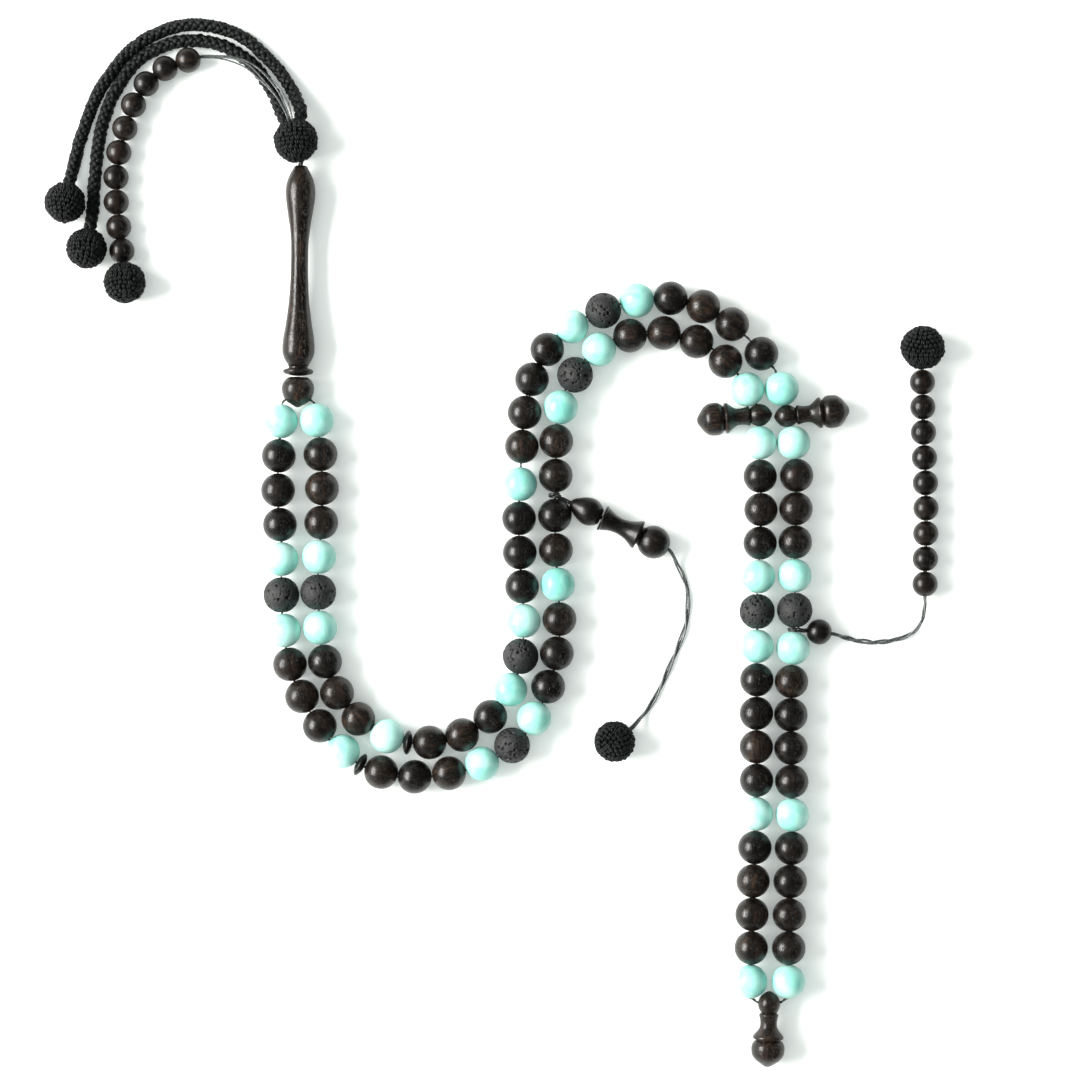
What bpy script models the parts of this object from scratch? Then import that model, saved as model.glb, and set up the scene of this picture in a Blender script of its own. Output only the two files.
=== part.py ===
"""Misbaha: one hundred prayer beads on one cord, laid out flat, with its imam, tassel and counters.

Lengths are in millimetres until a mesh is made. +X is right, +Y is up the layout, +Z is up from
the surface that the beads lie on.
"""

import math
from collections import namedtuple

import bmesh
import bpy
import numpy as np

MM = 0.001

# Where the layout's own origin lies from the middle of the strung loop's footprint.
LAYOUT_SHIFT = (-0.07, 0.12)

# Beads of the main string.
BEAD_DIAMETER = {"W": 8.0, "A": 8.05, "V": 8.6, "D": 2.1}
LOWER_GRADE = 0.985
BORE_RADIUS = 0.95
MOUTH_RADIUS = 1.35
NECK_RADIUS = 1.45
BEAD_SIDES = 8
BEAD_PROFILE = ((-0.75, 0.64), (-0.26, 1.0), (0.26, 1.0), (0.75, 0.64))
UPPER_PATTERN = "AWWWAVAWWWA" + "D" + "WWWAVAWWWAWWWWAVAWWWWA"
LOWER_PATTERN = "AWWWAVAWWWWAWWWWA"
CORD_RADIUS = 0.42
CORD_PAST_FIRST = 0.2
CORD_PAST_LAST = 0.1
AXIS_HEIGHT = 4.03

# Divider discs.
DISC_DIAMETER = 5.9
DISC_THICKNESS = 2.1
DISC_FACE_RADIUS = 1.3
DISC_SHOULDER = (0.45, 0.88)

# Small counting beads and their bore.
COUNTER_DIAMETER = 5.95
COUNTER_BORE = 0.9
COUNTER_PITCH = 6.08
TASSEL_PITCH = 6.0
COUNTER_CORD_RADIUS = 0.55

# Free cords.
BRAID_RADIUS = 1.5
CORD_STEP = 2.6
BRAID_STEP = 5.0

# Imam: distances along its axis from the middle of the junction bead.
JUNCTION = (-61.7, 49.0)
IMAM_DIRECTION = (0.013, 1.0)
RING_START = 3.1
SHAFT_START = 5.2
IMAM_BORE = 1.1
IMAM_CORD_RADIUS = 0.7
IMAM_CORD_SPAN = (3.2, 53.3)
IMAM_PIVOT = 2.8
JUNCTION_HOLLOW = (-0.6, 4.0, 1.15)
JUNCTION_OUTLET_REACH = 5.0
JUNCTION_OUTLET_RADIUS = 0.85
JUNCTION_CORD_STEPS = ((0.48, 2.2), (0.48, 0.8), (0.9, -1.0), (2.6, -2.6), (3.6, -3.35))
JUNCTION_PROFILE = (
    (-4.7, 0.5), (-3.9, 1.4), (-3.0, 2.5), (-1.8, 3.4), (-0.3, 3.84), (0.9, 3.5), (1.8, 2.7), (2.5, 1.45),
)
RING_PROFILE = ((0.0, 1.5), (0.5, 3.25), (0.9, 3.65), (1.3, 3.3), (1.75, 2.3))
SHAFT_PROFILE = (
    (0.0, 2.4), (0.7, 2.6), (1.6, 3.25), (2.9, 3.75), (4.2, 3.9), (6.5, 3.72), (10.0, 3.15),
    (15.0, 2.5), (20.0, 2.16), (25.0, 2.05), (29.5, 2.12), (33.5, 2.5), (37.0, 3.05),
    (40.0, 3.48), (42.0, 3.56), (44.0, 3.32), (46.0, 2.55), (47.4, 1.8), (48.1, 1.5),
)

# Finials: distances along their axis from the middle of the drilled head.
HEAD_HALF = 2.62
FINIAL_BORE_REACH = 4.5
FINIAL_PROFILE = (
    (-2.85, 0.35), (-2.4, 1.05), (-1.7, 1.85), (-0.8, 2.4), (0.2, 2.6), (1.1, 2.45), (1.9, 1.98),
    (2.35, 1.55), (2.75, 2.4), (3.1, 2.5), (3.7, 2.25), (4.8, 2.05), (5.8, 2.1), (6.7, 2.65),
    (7.4, 3.25), (8.0, 3.7), (8.45, 3.68), (8.75, 3.15), (9.05, 3.1), (9.45, 3.55), (10.2, 3.98),
    (11.3, 4.13), (12.5, 3.85), (13.6, 3.0), (14.5, 1.85), (15.3, 0.4),
)
LEFT_FINIAL = ((49.3, 42.5), (-0.9957, -0.0925))
RIGHT_FINIAL = ((55.4, 42.2), (0.9950, 0.1002))
END_FINIAL = ((51.4, -98.6), (-0.029, -1.0))
END_FINIAL_LENGTH = 0.985
END_CORD_STEPS = ((-4.3, 0.35), (-3.5, 0.0), (0.0, 0.0), (3.5, 0.0), (4.3, 0.35))

# Marker pendant: distances along its axis from the loop round the left strand.
MARKER_BEAD = 23
MARKER_ANGLE = -25.4
DROP_START = 4.1
DROP_PROFILE = (
    (0.0, 0.8), (1.0, 1.35), (2.4, 2.35), (3.8, 3.12), (5.0, 3.36), (6.3, 3.1), (7.4, 2.4), (8.0, 1.7),
)
SPOOL_START = 12.4
SPOOL_PROFILE = (
    (0.0, 2.6), (0.35, 3.1), (1.1, 3.1), (1.9, 2.5), (3.0, 2.08), (4.6, 1.92), (6.2, 2.12),
    (7.4, 2.6), (8.2, 3.3), (8.9, 3.42), (9.3, 2.9),
)
MARKER_ROUND = (26.1, 3.9)
MARKER_BORE = 0.6
MARKER_CORD_RADIUS = 0.5
STEM_RADIUS = 0.32
STEM_START = 28.5
HOOK_START = 2.6
HOOK_RADIUS = 1.15
HOOK_ANGLES = (35, 75, 115, 155, 195, 235, 275, 315)

# Counter pendant: the stop bead beside the right strand.
COUNTER_BEAD = 39
STOP_BEAD = (63.5, -9.6)
STOP_CORD_REACH = (2.2, -3.0)

# Crocheted balls: centre and radius.
HEAD_BALL = ((-62.1, 108.2), 5.35)
OUTER_BALL = ((-117.4, 93.4), 4.95)
INNER_BALL = ((-112.3, 82.4), 4.9)
STRING_BALL = ((-103.1, 74.2), 5.1)
MARKER_BALL = ((14.3, -35.8), 4.95)
COUNTER_BALL = ((88.1, 58.6), 5.3)

# Routes of the two strands, from above bead 1 to below bead 50. The marked point is the finial's head.
LEFT_ROUTE = (
    (-65.5, 45.3), (-65.75, 41.0), (-66.6, 24.7), (-65.4, 8.2), (-66.1, 0.0), (-65.0, -8.5),
    (-64.1, -16.6), (-61.2, -24.5), (-56.7, -31.9), (-51.1, -38.6), (-41.9, -43.6), (-33.4, -44.5),
    (-25.0, -43.5), (-17.2, -41.3), (-9.6, -36.9), (-4.7, -30.2), (-1.6, -22.7), (0.7, -14.6),
    (1.2, -6.2), (0.6, 2.0), (-0.1, 18.3), (0.3, 28.0), (0.2, 36.3), (1.0, 44.4), (4.5, 52.2),
    (10.2, 58.6), (17.8, 61.7), (25.9, 62.6), (34.0, 60.4), (40.9, 56.0), (45.6, 49.5),
    (49.3, 42.5), (48.6, 35.5), (49.4, 27.7), (49.3, 11.5), (48.6, 3.6), (48.5, -4.8), (48.5, -13.1),
    (48.3, -37.2), (48.4, -53.2), (47.5, -69.1), (47.1, -85.4), (46.8, -97.6),
)
LEFT_HEAD_POINT = 31
RIGHT_ROUTE = (
    (-57.7, 45.4), (-57.45, 41.2), (-56.1, 33.0), (-56.0, 16.4), (-56.8, 8.4), (-56.9, 0.1),
    (-56.4, -8.3), (-55.5, -16.5), (-52.7, -24.4), (-47.2, -30.7), (-40.4, -35.1), (-30.0, -36.4),
    (-22.2, -34.6), (-15.4, -30.2), (-10.4, -23.7), (-8.1, -15.5), (-7.4, -7.3), (-7.9, 0.9),
    (-8.5, 9.0), (-8.7, 17.5), (-8.4, 25.8), (-7.5, 42.3), (-5.9, 50.4), (-2.6, 57.9), (3.4, 63.9),
    (11.3, 67.4), (19.0, 70.1), (27.5, 70.9), (35.6, 68.8), (42.7, 64.4), (49.4, 57.4),
    (55.2, 49.5), (55.4, 42.2), (58.0, 35.3), (57.9, 27.7), (57.7, 11.4), (57.4, 3.6), (57.7, -4.7),
    (57.1, -13.9), (56.7, -21.8), (56.6, -37.8), (57.0, -53.9), (56.4, -69.6), (56.1, -85.4),
    (56.0, -97.6),
)
RIGHT_HEAD_POINT = 32

# Extra cord left showing after some beads.
LEFT_SLACK = {MARKER_BEAD: 1.3, 31: 0.3, 32: 0.3}
RIGHT_SLACK = {21: 0.8, 31: 1.8, 32: 1.9, COUNTER_BEAD: 0.8}

# Beads that are modelled as one strung run, first and last.
LEFT_RUNS = (
    (1, 1), (2, 4), (5, 7), (8, 10), (11, 11), (12, 14), (15, 17), (18, 23), (24, 25), (26, 28),
    (29, 33), (34, 37), (38, 40), (41, 49), (50, 50),
)
RIGHT_RUNS = (
    (1, 1), (2, 4), (5, 7), (8, 10), (11, 11), (12, 14), (15, 17), (18, 25), (26, 28),
    (29, 33), (34, 37), (38, 39), (40, 49), (50, 50),
)

# Routes of the free cords, from where they leave the object.
OUTER_BRAID_ROUTE = (
    (-60.9, 114.3, 5.3), (-61.2, 116.4, 4.6), (-63.2, 120.6, 2.5), (-66.9, 126.0, 1.5), (-73.8, 132.6, 1.5),
    (-80.0, 135.6, 1.5), (-86.0, 136.6, 1.5), (-91.6, 136.0, 1.5), (-96.8, 134.0, 1.5),
    (-101.2, 131.2, 1.5), (-104.9, 127.6, 1.5), (-109.7, 120.7, 1.5), (-111.8, 116.0, 1.5),
    (-113.5, 111.2, 1.5), (-114.9, 106.6, 1.5), (-116.0, 102.0, 1.8), (-116.7, 98.7, 3.0),
)
INNER_BRAID_ROUTE = (
    (-65.1, 113.7, 5.1), (-66.0, 115.8, 4.2), (-68.0, 120.4, 1.9), (-72.6, 126.8, 1.5),
    (-78.7, 130.9, 1.5), (-82.8, 132.3, 1.5), (-87.1, 132.8, 1.5), (-91.3, 132.4, 1.5),
    (-95.2, 131.0, 1.5), (-99.0, 129.0, 1.5), (-102.3, 125.9, 1.5), (-107.0, 118.3, 1.5),
    (-109.6, 109.8, 1.5), (-110.7, 100.3, 1.5), (-111.3, 91.4, 2.0), (-111.7, 87.6, 3.6),
)
TASSEL_STRING_ROUTE = (
    (-63.5, 113.7, 7.9), (-64.4, 115.8, 7.0), (-67.0, 120.2, 4.5), (-71.4, 125.0, 4.0),
    (-74.6, 127.2, 3.8), (-78.6, 128.3, 3.3), (-82.4, 128.6, 3.0), (-85.2, 128.5, 3.0),
    (-88.2, 127.9, 3.0), (-94.0, 126.1, 3.0), (-98.6, 122.2, 3.0), (-101.5, 116.8, 3.0),
    (-103.5, 111.2, 3.0), (-105.0, 105.4, 3.0), (-105.6, 99.6, 3.0), (-105.5, 93.6, 3.0),
    (-104.9, 87.7, 3.0), (-104.1, 81.9, 3.0), (-103.7, 79.3, 3.0),
)
TASSEL_FIRST_BEAD = 8
TASSEL_BEADS = 10
MARKER_CORD_ROUTE = (
    (27.45, 10.1, 4.0), (28.1, 9.1, 3.3), (29.4, 6.6, 1.1), (30.7, 4.1, 0.5), (31.6, 1.4, 0.5),
    (32.0, -1.0, 0.5), (32.0, -3.6, 0.5), (31.4, -8.4, 0.5), (30.2, -11.9, 0.5), (28.8, -15.3, 0.5),
    (27.4, -18.6, 0.5), (25.9, -22.0, 0.5), (24.2, -25.4, 0.5), (22.3, -28.4, 0.6),
    (20.5, -30.6, 1.3), (18.8, -32.4, 2.7),
)
COUNTER_CORD_ROUTE = (
    (66.9, -10.1, 3.0), (68.4, -10.6, 2.6), (70.6, -11.2, 1.2), (73.2, -11.8, 0.6),
    (76.0, -12.1, 0.55), (78.4, -12.1, 0.55), (80.4, -11.9, 0.55), (82.7, -11.4, 0.6),
    (84.7, -10.7, 0.8), (86.4, -9.7, 1.3), (87.6, -8.2, 2.0), (88.4, -6.2, 2.7), (88.8, -3.8, 3.0),
    (88.9, -1.2, 3.0), (88.9, 1.9, 3.0), (89.0, 8.1, 3.0), (89.1, 14.2, 3.0), (89.2, 20.3, 3.0),
    (89.0, 26.4, 3.0), (88.8, 32.4, 3.0), (88.5, 38.5, 3.0), (88.4, 44.6, 3.0), (88.3, 50.6, 3.0),
    (88.2, 53.3, 3.1),
)
COUNTER_FIRST_BEAD = 14
COUNTER_BEADS = 9

# Colour, roughness and metallic value of each material.
MATERIALS = {
    "amazonite": ((0.36, 0.78, 0.70), 0.18, 0.0),
    "ebony": ((0.045, 0.028, 0.024), 0.42, 0.0),
    "lava": ((0.040, 0.040, 0.045), 0.9, 0.0),
    "satin_black_wood": ((0.018, 0.014, 0.014), 0.35, 0.0),
    "black_cotton": ((0.012, 0.012, 0.013), 0.95, 0.0),
    "waxed_cord": ((0.020, 0.020, 0.022), 0.4, 0.0),
}

Bead = namedtuple("Bead", "number kind centre axis radius")
Strand = namedtuple("Strand", "beads discs gaps head_axis")


# ---------------------------------------------------------------------------- curves


def smooth(points, steps=24):
    """Samples of a Catmull-Rom curve through the points."""
    points = np.array(points, float)
    ends = np.vstack([2 * points[0] - points[1], points, 2 * points[-1] - points[-2]])
    t = (np.arange(steps) / steps)[:, None]
    spans = [
        b + 0.5 * ((c - a) * t + (2 * a - 5 * b + 4 * c - d) * t**2 + (3 * b - a - 3 * c + d) * t**3)
        for a, b, c, d in zip(ends, ends[1:], ends[2:], ends[3:])
    ]
    return np.vstack(spans + [points[-1:]])


def distances(curve):
    """How far along the curve each of its samples lies."""
    steps = np.linalg.norm(np.diff(curve, axis=0), axis=1)
    return np.concatenate([[0.0], np.cumsum(steps)])


def at(curve, along, where):
    """The point or points of the curve at these distances along it."""
    return np.stack([np.interp(where, along, curve[:, k]) for k in range(curve.shape[1])], axis=-1)


def unit(vector):
    vector = np.array(vector, float)
    return vector / np.linalg.norm(vector)


def spatial(point, height):
    """A point of the layout as a point in space."""
    return np.array([point[0], point[1], height])


def polar(angle):
    """The direction in the layout at this angle in degrees from +X."""
    return np.array([math.cos(math.radians(angle)), math.sin(math.radians(angle)), 0.0])


# ---------------------------------------------------------------------------- strands


def walk(start, end, pattern, first, slack, grade):
    """The (number, kind, near end, far end) of each piece threaded on a stretch of the curve.

    The cord that the pieces and the stated slack leave over is shared by all the gaps.
    """
    sizes = [BEAD_DIAMETER[kind] * (1.0 if kind == "D" else grade) for kind in pattern]
    count = sum(kind != "D" for kind in pattern)
    extra = sum(length for number, length in slack.items() if first <= number < first + count)
    share = (end - start - sum(sizes) - extra) / (len(pattern) + 1)
    pieces = []
    place, number = start + share, first - 1
    for kind, size in zip(pattern, sizes):
        number += kind != "D"
        pieces.append((number, kind, place, place + size))
        place += size + share + (slack.get(number, 0.0) if kind != "D" else 0.0)
    return pieces


def strand(route, head_point, slack):
    """Places one strand's fifty beads, its disc and the head of its finial along its route."""
    steps = 24
    curve = smooth(route, steps)
    along = distances(curve)
    head = along[head_point * steps]
    upper = walk(0.0, head - HEAD_HALF, UPPER_PATTERN, 1, slack, 1.0)
    first_lower = 1 + sum(kind != "D" for kind in UPPER_PATTERN)
    lower = walk(head + HEAD_HALF, along[-1], LOWER_PATTERN, first_lower, slack, LOWER_GRADE)
    beads, discs, gaps = [], [], []
    for pieces in (upper, lower):
        before = pieces[0][2] - CORD_PAST_FIRST
        if pieces is lower:
            gaps.append(head)
        for number, kind, near, far in pieces:
            ends = at(curve, along, np.array([near, far]))
            radius = AXIS_HEIGHT if kind == "D" else (far - near) / 2
            axis = unit(ends[1] - ends[0])
            piece = Bead(number, kind, spatial(ends.mean(0), radius), spatial(axis, 0.0), radius)
            (discs if kind == "D" else beads).append(piece)
            gaps.append((before + near) / 2)
            before = far
        gaps.append(before + CORD_PAST_LAST)
    gap_points = at(curve, along, np.array(gaps))
    cord = [spatial(point, AXIS_HEIGHT) for point in gap_points]
    tangent = at(curve, along, head + 1.0) - at(curve, along, head - 1.0)
    return Strand(beads, discs, cord, unit(tangent))


# ---------------------------------------------------------------------------- meshes


def ring(centre, axis, radius, sides):
    """A ring of points round a level axis, with a flat side down."""
    side = np.cross(axis, [0.0, 0.0, 1.0])
    up = np.array([0.0, 0.0, 1.0])
    turns = (np.arange(sides) + 0.5) * 2 * math.pi / sides
    return [centre + radius * (math.cos(t) * side + math.sin(t) * up) for t in turns]


def add_material(obj, name):
    material = bpy.data.materials.get(name)
    if material is None:
        colour, roughness, metallic = MATERIALS[name]
        material = bpy.data.materials.new(name)
        material.use_nodes = True
        shader = material.node_tree.nodes["Principled BSDF"]
        shader.inputs["Base Color"].default_value = (*colour, 1.0)
        shader.inputs["Roughness"].default_value = roughness
        shader.inputs["Metallic"].default_value = metallic
        material.diffuse_color = (*colour, 1.0)
    obj.data.materials.append(material)


def metres(point, origin=(0.0, 0.0, 0.0)):
    """A point in millimetres, from an origin, in metres."""
    return tuple((np.array(point) - np.array(origin)) * MM)


def place(obj, origin):
    """Puts the object's origin, on its joint's axis where it has one, in the part's frame."""
    obj.location = metres(np.array(origin) + [LAYOUT_SHIFT[0], LAYOUT_SHIFT[1], 0.0])
    bpy.context.collection.objects.link(obj)
    return obj


def skin(name, rings, material, origin, hollow):
    """A closed skin over rings of points. A hollow one runs back through its bore."""
    mesh = bmesh.new()
    loops = [[mesh.verts.new(metres(point, origin)) for point in points] for points in rings]
    pairs = list(zip(loops, loops[1:]))
    if hollow:
        pairs.append((loops[-1], loops[0]))
    for near, far in pairs:
        for k in range(len(near)):
            mesh.faces.new((near[k], near[k - 1], far[k - 1], far[k]))
    if not hollow:
        mesh.faces.new(loops[0])
        mesh.faces.new(loops[-1])
    bmesh.ops.recalc_face_normals(mesh, faces=mesh.faces)
    data = bpy.data.meshes.new(name)
    mesh.to_mesh(data)
    mesh.free()
    data.shade_smooth()
    data.set_sharp_from_angle(angle=math.radians(50))
    obj = bpy.data.objects.new(name, data)
    add_material(obj, material)
    return place(obj, origin)


def turned(name, base, axis, profile, bore, material, origin, sides=16):
    """A turned piece: rings at (distance along the axis, radius), bored through if bore isn't 0."""
    rings = [ring(base + axis * t, axis, radius, sides) for t, radius in profile]
    if bore:
        rings += [ring(base + axis * t, axis, bore, sides) for t in (profile[-1][0], profile[0][0])]
    return skin(name, rings, material, origin, bool(bore))


def bead_run(name, beads, bore, material, origin=(0.0, 0.0, 0.0)):
    """Neighbouring beads with a bore along their cord, joined by a neck round the bore."""
    outer, inner = [], []
    half_side = math.cos(math.pi / BEAD_SIDES)

    def mouth(bead, way):
        centre = bead.centre + bead.axis * way * math.sqrt(bead.radius**2 - MOUTH_RADIUS**2)
        outer.append(ring(centre, bead.axis, MOUTH_RADIUS, BEAD_SIDES))
        inner.append(ring(centre, bead.axis, bore, BEAD_SIDES))

    for k, bead in enumerate(beads):
        if k == 0:
            mouth(bead, -1)
        else:
            last = beads[k - 1]
            far = last.centre + last.axis * last.radius
            near = bead.centre - bead.axis * bead.radius
            axis = unit(last.axis + bead.axis)
            outer.append(ring((far + near) / 2, axis, NECK_RADIUS, BEAD_SIDES))
            inner.append(ring((far + near) / 2, axis, bore, BEAD_SIDES))
        for t, width in BEAD_PROFILE:
            centre = bead.centre + bead.axis * t * bead.radius
            outer.append(ring(centre, bead.axis, width * bead.radius / half_side, BEAD_SIDES))
    mouth(beads[-1], 1)
    return skin(name, outer + inner[::-1], material, origin, True)


def ball(name, centre, radius, origin):
    """A crocheted ball as a plain round solid that sits on the surface."""
    angles = [math.radians(a) for a in (-78, -54, -30, -10, 10, 30, 54, 78)]
    axis = np.array([0.0, 1.0, 0.0])
    rings = [
        ring(centre + axis * radius * math.sin(a), axis, radius * math.cos(a), 12) for a in angles
    ]
    return skin(name, rings, "black_cotton", origin, False)


def tube(name, points, radius, material, origin, resolution=2):
    """A cord as a round tube with closed ends."""
    data = bpy.data.curves.new(name, "CURVE")
    data.dimensions = "3D"
    data.resolution_u = 1
    data.render_resolution_u = 0
    data.bevel_depth = radius * MM
    data.bevel_resolution = resolution
    data.use_fill_caps = True
    line = data.splines.new("POLY")
    line.points.add(len(points) - 1)
    for spot, point in zip(line.points, points):
        spot.co = (*metres(point, origin), 1.0)
    obj = bpy.data.objects.new(name, data)
    add_material(obj, material)
    return place(obj, origin)


def evenly(route, spacing, radius, threaded=()):
    """Points of the smooth curve through a route, at about this spacing, and none in the surface.

    Through threaded beads the cord runs straight from gap to gap, and it ends past the last of them.
    """
    curve = smooth(route)
    curve[:, 2] = np.maximum(curve[:, 2], radius + 0.02)
    along = distances(curve)
    if not threaded:
        return at(curve, along, np.linspace(0.0, along[-1], round(along[-1] / spacing) + 1))
    before = np.linspace(0.0, threaded[0], round(threaded[0] / spacing) + 1)
    return at(curve, along, np.concatenate([before, threaded[1:], along[-1:]]))


def drill(obj, start, end, radius, sides=12):
    """Cuts a round hole in the object from start to end."""
    middle = (np.array(start) + np.array(end)) / 2
    axis = np.array(end) - np.array(start)
    mesh = bmesh.new()
    rings = []
    for point in (start, end):
        side = unit(np.cross(axis, [0.0, 0.0, 1.0]))
        up = unit(np.cross(side, axis))
        turns = np.arange(sides) * 2 * math.pi / sides
        rings.append(
            [
                mesh.verts.new(
                    metres(point + radius * (math.cos(t) * side + math.sin(t) * up), middle)
                )
                for t in turns
            ]
        )
    for k in range(sides):
        mesh.faces.new((rings[0][k], rings[0][k - 1], rings[1][k - 1], rings[1][k]))
    mesh.faces.new(rings[0])
    mesh.faces.new(rings[1])
    bmesh.ops.recalc_face_normals(mesh, faces=mesh.faces)
    data = bpy.data.meshes.new(obj.name + "_cutter")
    mesh.to_mesh(data)
    mesh.free()
    cutter = place(bpy.data.objects.new(data.name, data), middle)
    cutter.hide_render = True
    cutter.display_type = "WIRE"
    cut = obj.modifiers.new("hole", "BOOLEAN")
    cut.operation = "DIFFERENCE"
    cut.object = cutter


# ---------------------------------------------------------------------------- the object's parts


def run_name(side, beads):
    """A name that says where a run lies and what its beads are."""
    kinds = {bead.kind for bead in beads}
    words = [word for kind, word in (("W", "ebony"), ("A", "amazonite"), ("V", "lava")) if kind in kinds]
    first, last = beads[0].number, beads[-1].number
    span = f"bead_{first:02d}" if first == last else f"beads_{first:02d}_{last:02d}"
    return f"{side}_{span}_{'_'.join(words)}"


def make_strand(side, laid, runs):
    """The beads and the divider disc of one strand."""
    for first, last in runs:
        beads = [bead for bead in laid.beads if first <= bead.number <= last]
        kinds = [bead.kind for bead in beads]
        material = "ebony" if kinds.count("W") > len(kinds) / 2 else "amazonite"
        bead_run(run_name(side, beads), beads, BORE_RADIUS, material)
    disc = laid.discs[0]
    half, rim = DISC_THICKNESS / 2, DISC_DIAMETER / 2
    shoulder, width = DISC_SHOULDER[0] * half, DISC_SHOULDER[1] * rim
    profile = (
        (-half, DISC_FACE_RADIUS), (-shoulder, width), (0.0, rim),
        (shoulder, width), (half, DISC_FACE_RADIUS),
    )
    turned(
        f"{side}_divider_disc", disc.centre, disc.axis, profile, BORE_RADIUS, "satin_black_wood",
        disc.centre, sides=12,
    )


def make_imam():
    """The imam, a turned shaft over a ring and the bead where both strands meet."""
    centre = spatial(JUNCTION, AXIS_HEIGHT)
    axis = spatial(unit(IMAM_DIRECTION), 0.0)
    pivot = centre + axis * IMAM_PIVOT
    junction = turned("imam_junction_bead", centre, axis, JUNCTION_PROFILE, 0, "ebony", centre)
    bottom, top, radius = JUNCTION_HOLLOW
    drill(junction, centre + axis * bottom, centre + axis * top, radius)
    for way in (-1, 1):
        outlet = np.array([way, -1.0, 0.0]) * JUNCTION_OUTLET_REACH
        drill(junction, centre, centre + outlet, JUNCTION_OUTLET_RADIUS)
    turned(
        "imam_ring", centre + axis * RING_START, axis, RING_PROFILE, IMAM_BORE, "ebony", pivot
    )
    turned(
        "imam_shaft", centre + axis * SHAFT_START, axis, SHAFT_PROFILE, IMAM_BORE, "ebony", pivot
    )
    ends = [centre + axis * t for t in np.linspace(*IMAM_CORD_SPAN, 6)]
    tube("imam_cord", ends, IMAM_CORD_RADIUS, "waxed_cord", pivot)


def junction_path(way):
    """The cord's way from the top of the junction bead's hollow out of a slanted hole."""
    centre = spatial(JUNCTION, AXIS_HEIGHT)
    return [centre + np.array([way * x, y, 0.0]) for x, y in JUNCTION_CORD_STEPS]


def make_stringing_cord(left, right):
    """The one cord, out of the imam, down the left strand, through the end finial and back up."""
    head = spatial(END_FINIAL[0], AXIS_HEIGHT)
    bottom = [head + np.array([x, y, 0.0]) for x, y in END_CORD_STEPS]
    path = junction_path(-1) + left.gaps + bottom + right.gaps[::-1] + junction_path(1)[::-1]
    tube("stringing_cord", path, CORD_RADIUS, "waxed_cord", (0.0, 0.0, 0.0), resolution=1)


def make_finial(name, head, direction, hole_axis, length=1.0):
    """A turned finial whose small head is drilled across for the cord."""
    centre = spatial(head, AXIS_HEIGHT)
    axis = spatial(unit(direction), 0.0)
    profile = [(t * length if t > 0 else t, radius) for t, radius in FINIAL_PROFILE]
    finial = turned(name, centre, axis, profile, 0, "ebony", centre, sides=12)
    reach = spatial(hole_axis, 0.0) * FINIAL_BORE_REACH
    drill(finial, centre - reach, centre + reach, BORE_RADIUS, sides=8)


def hook(centre, strand_axis, direction, reach):
    """A stem along direction that ends in an open loop round the strand's cord."""
    side = unit(np.cross(strand_axis, [0.0, 0.0, 1.0]))
    if np.dot(side, direction) < 0:
        side = -side
    up = np.array([0.0, 0.0, 1.0])
    loop = [
        centre + HOOK_RADIUS * (math.cos(t) * side + math.sin(t) * up)
        for t in np.radians(HOOK_ANGLES)
    ]
    return [centre + direction * reach, centre + direction * HOOK_START] + loop


def make_marker(left):
    """The marker pendant tied between two beads of the left strand."""
    before, after = (b for b in left.beads if b.number in (MARKER_BEAD, MARKER_BEAD + 1))
    centre = (before.centre + after.centre) / 2
    centre[2] = AXIS_HEIGHT
    axis = polar(MARKER_ANGLE)
    tube(
        "marker_loop", hook(centre, unit(after.centre - before.centre), axis, STEM_START),
        STEM_RADIUS, "waxed_cord", centre, resolution=1,
    )
    turned(
        "marker_drop_bead", centre + axis * DROP_START, axis, DROP_PROFILE, MARKER_BORE,
        "satin_black_wood", centre, sides=12,
    )
    start = centre + axis * SPOOL_START
    turned(
        "marker_spool", start, axis, SPOOL_PROFILE, MARKER_BORE, "satin_black_wood", start, sides=12,
    )
    middle, radius = MARKER_ROUND
    bead = Bead(0, "W", centre + axis * middle, axis, radius)
    bead_run("marker_round_bead", [bead], MARKER_BORE, "satin_black_wood", centre)
    exit_point = centre + axis * (middle + radius)
    points = evenly(MARKER_CORD_ROUTE, CORD_STEP, MARKER_CORD_RADIUS)
    tube("marker_cord", points, MARKER_CORD_RADIUS, "waxed_cord", exit_point)
    ball("marker_ball", spatial(MARKER_BALL[0], MARKER_BALL[1]), MARKER_BALL[1], exit_point)


def strung(route, first, count, pitch):
    """Beads at an even pitch along a cord's route, from one of its points, and the gaps before them."""
    steps = 24
    curve = smooth(route, steps)
    along = distances(curve)
    start = along[first * steps]
    gaps = [start + (k - 0.5) * pitch for k in range(count)]
    beads = []
    for k in range(count):
        near, far = at(curve, along, start + k * pitch + np.array([-0.5, 0.5]) * COUNTER_DIAMETER)
        centre = spatial(((near + far) / 2)[:2], COUNTER_DIAMETER / 2)
        axis = spatial(unit((far - near)[:2]), 0.0)
        beads.append(Bead(k + 1, "S", centre, axis, COUNTER_DIAMETER / 2))
    return beads, gaps


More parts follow.
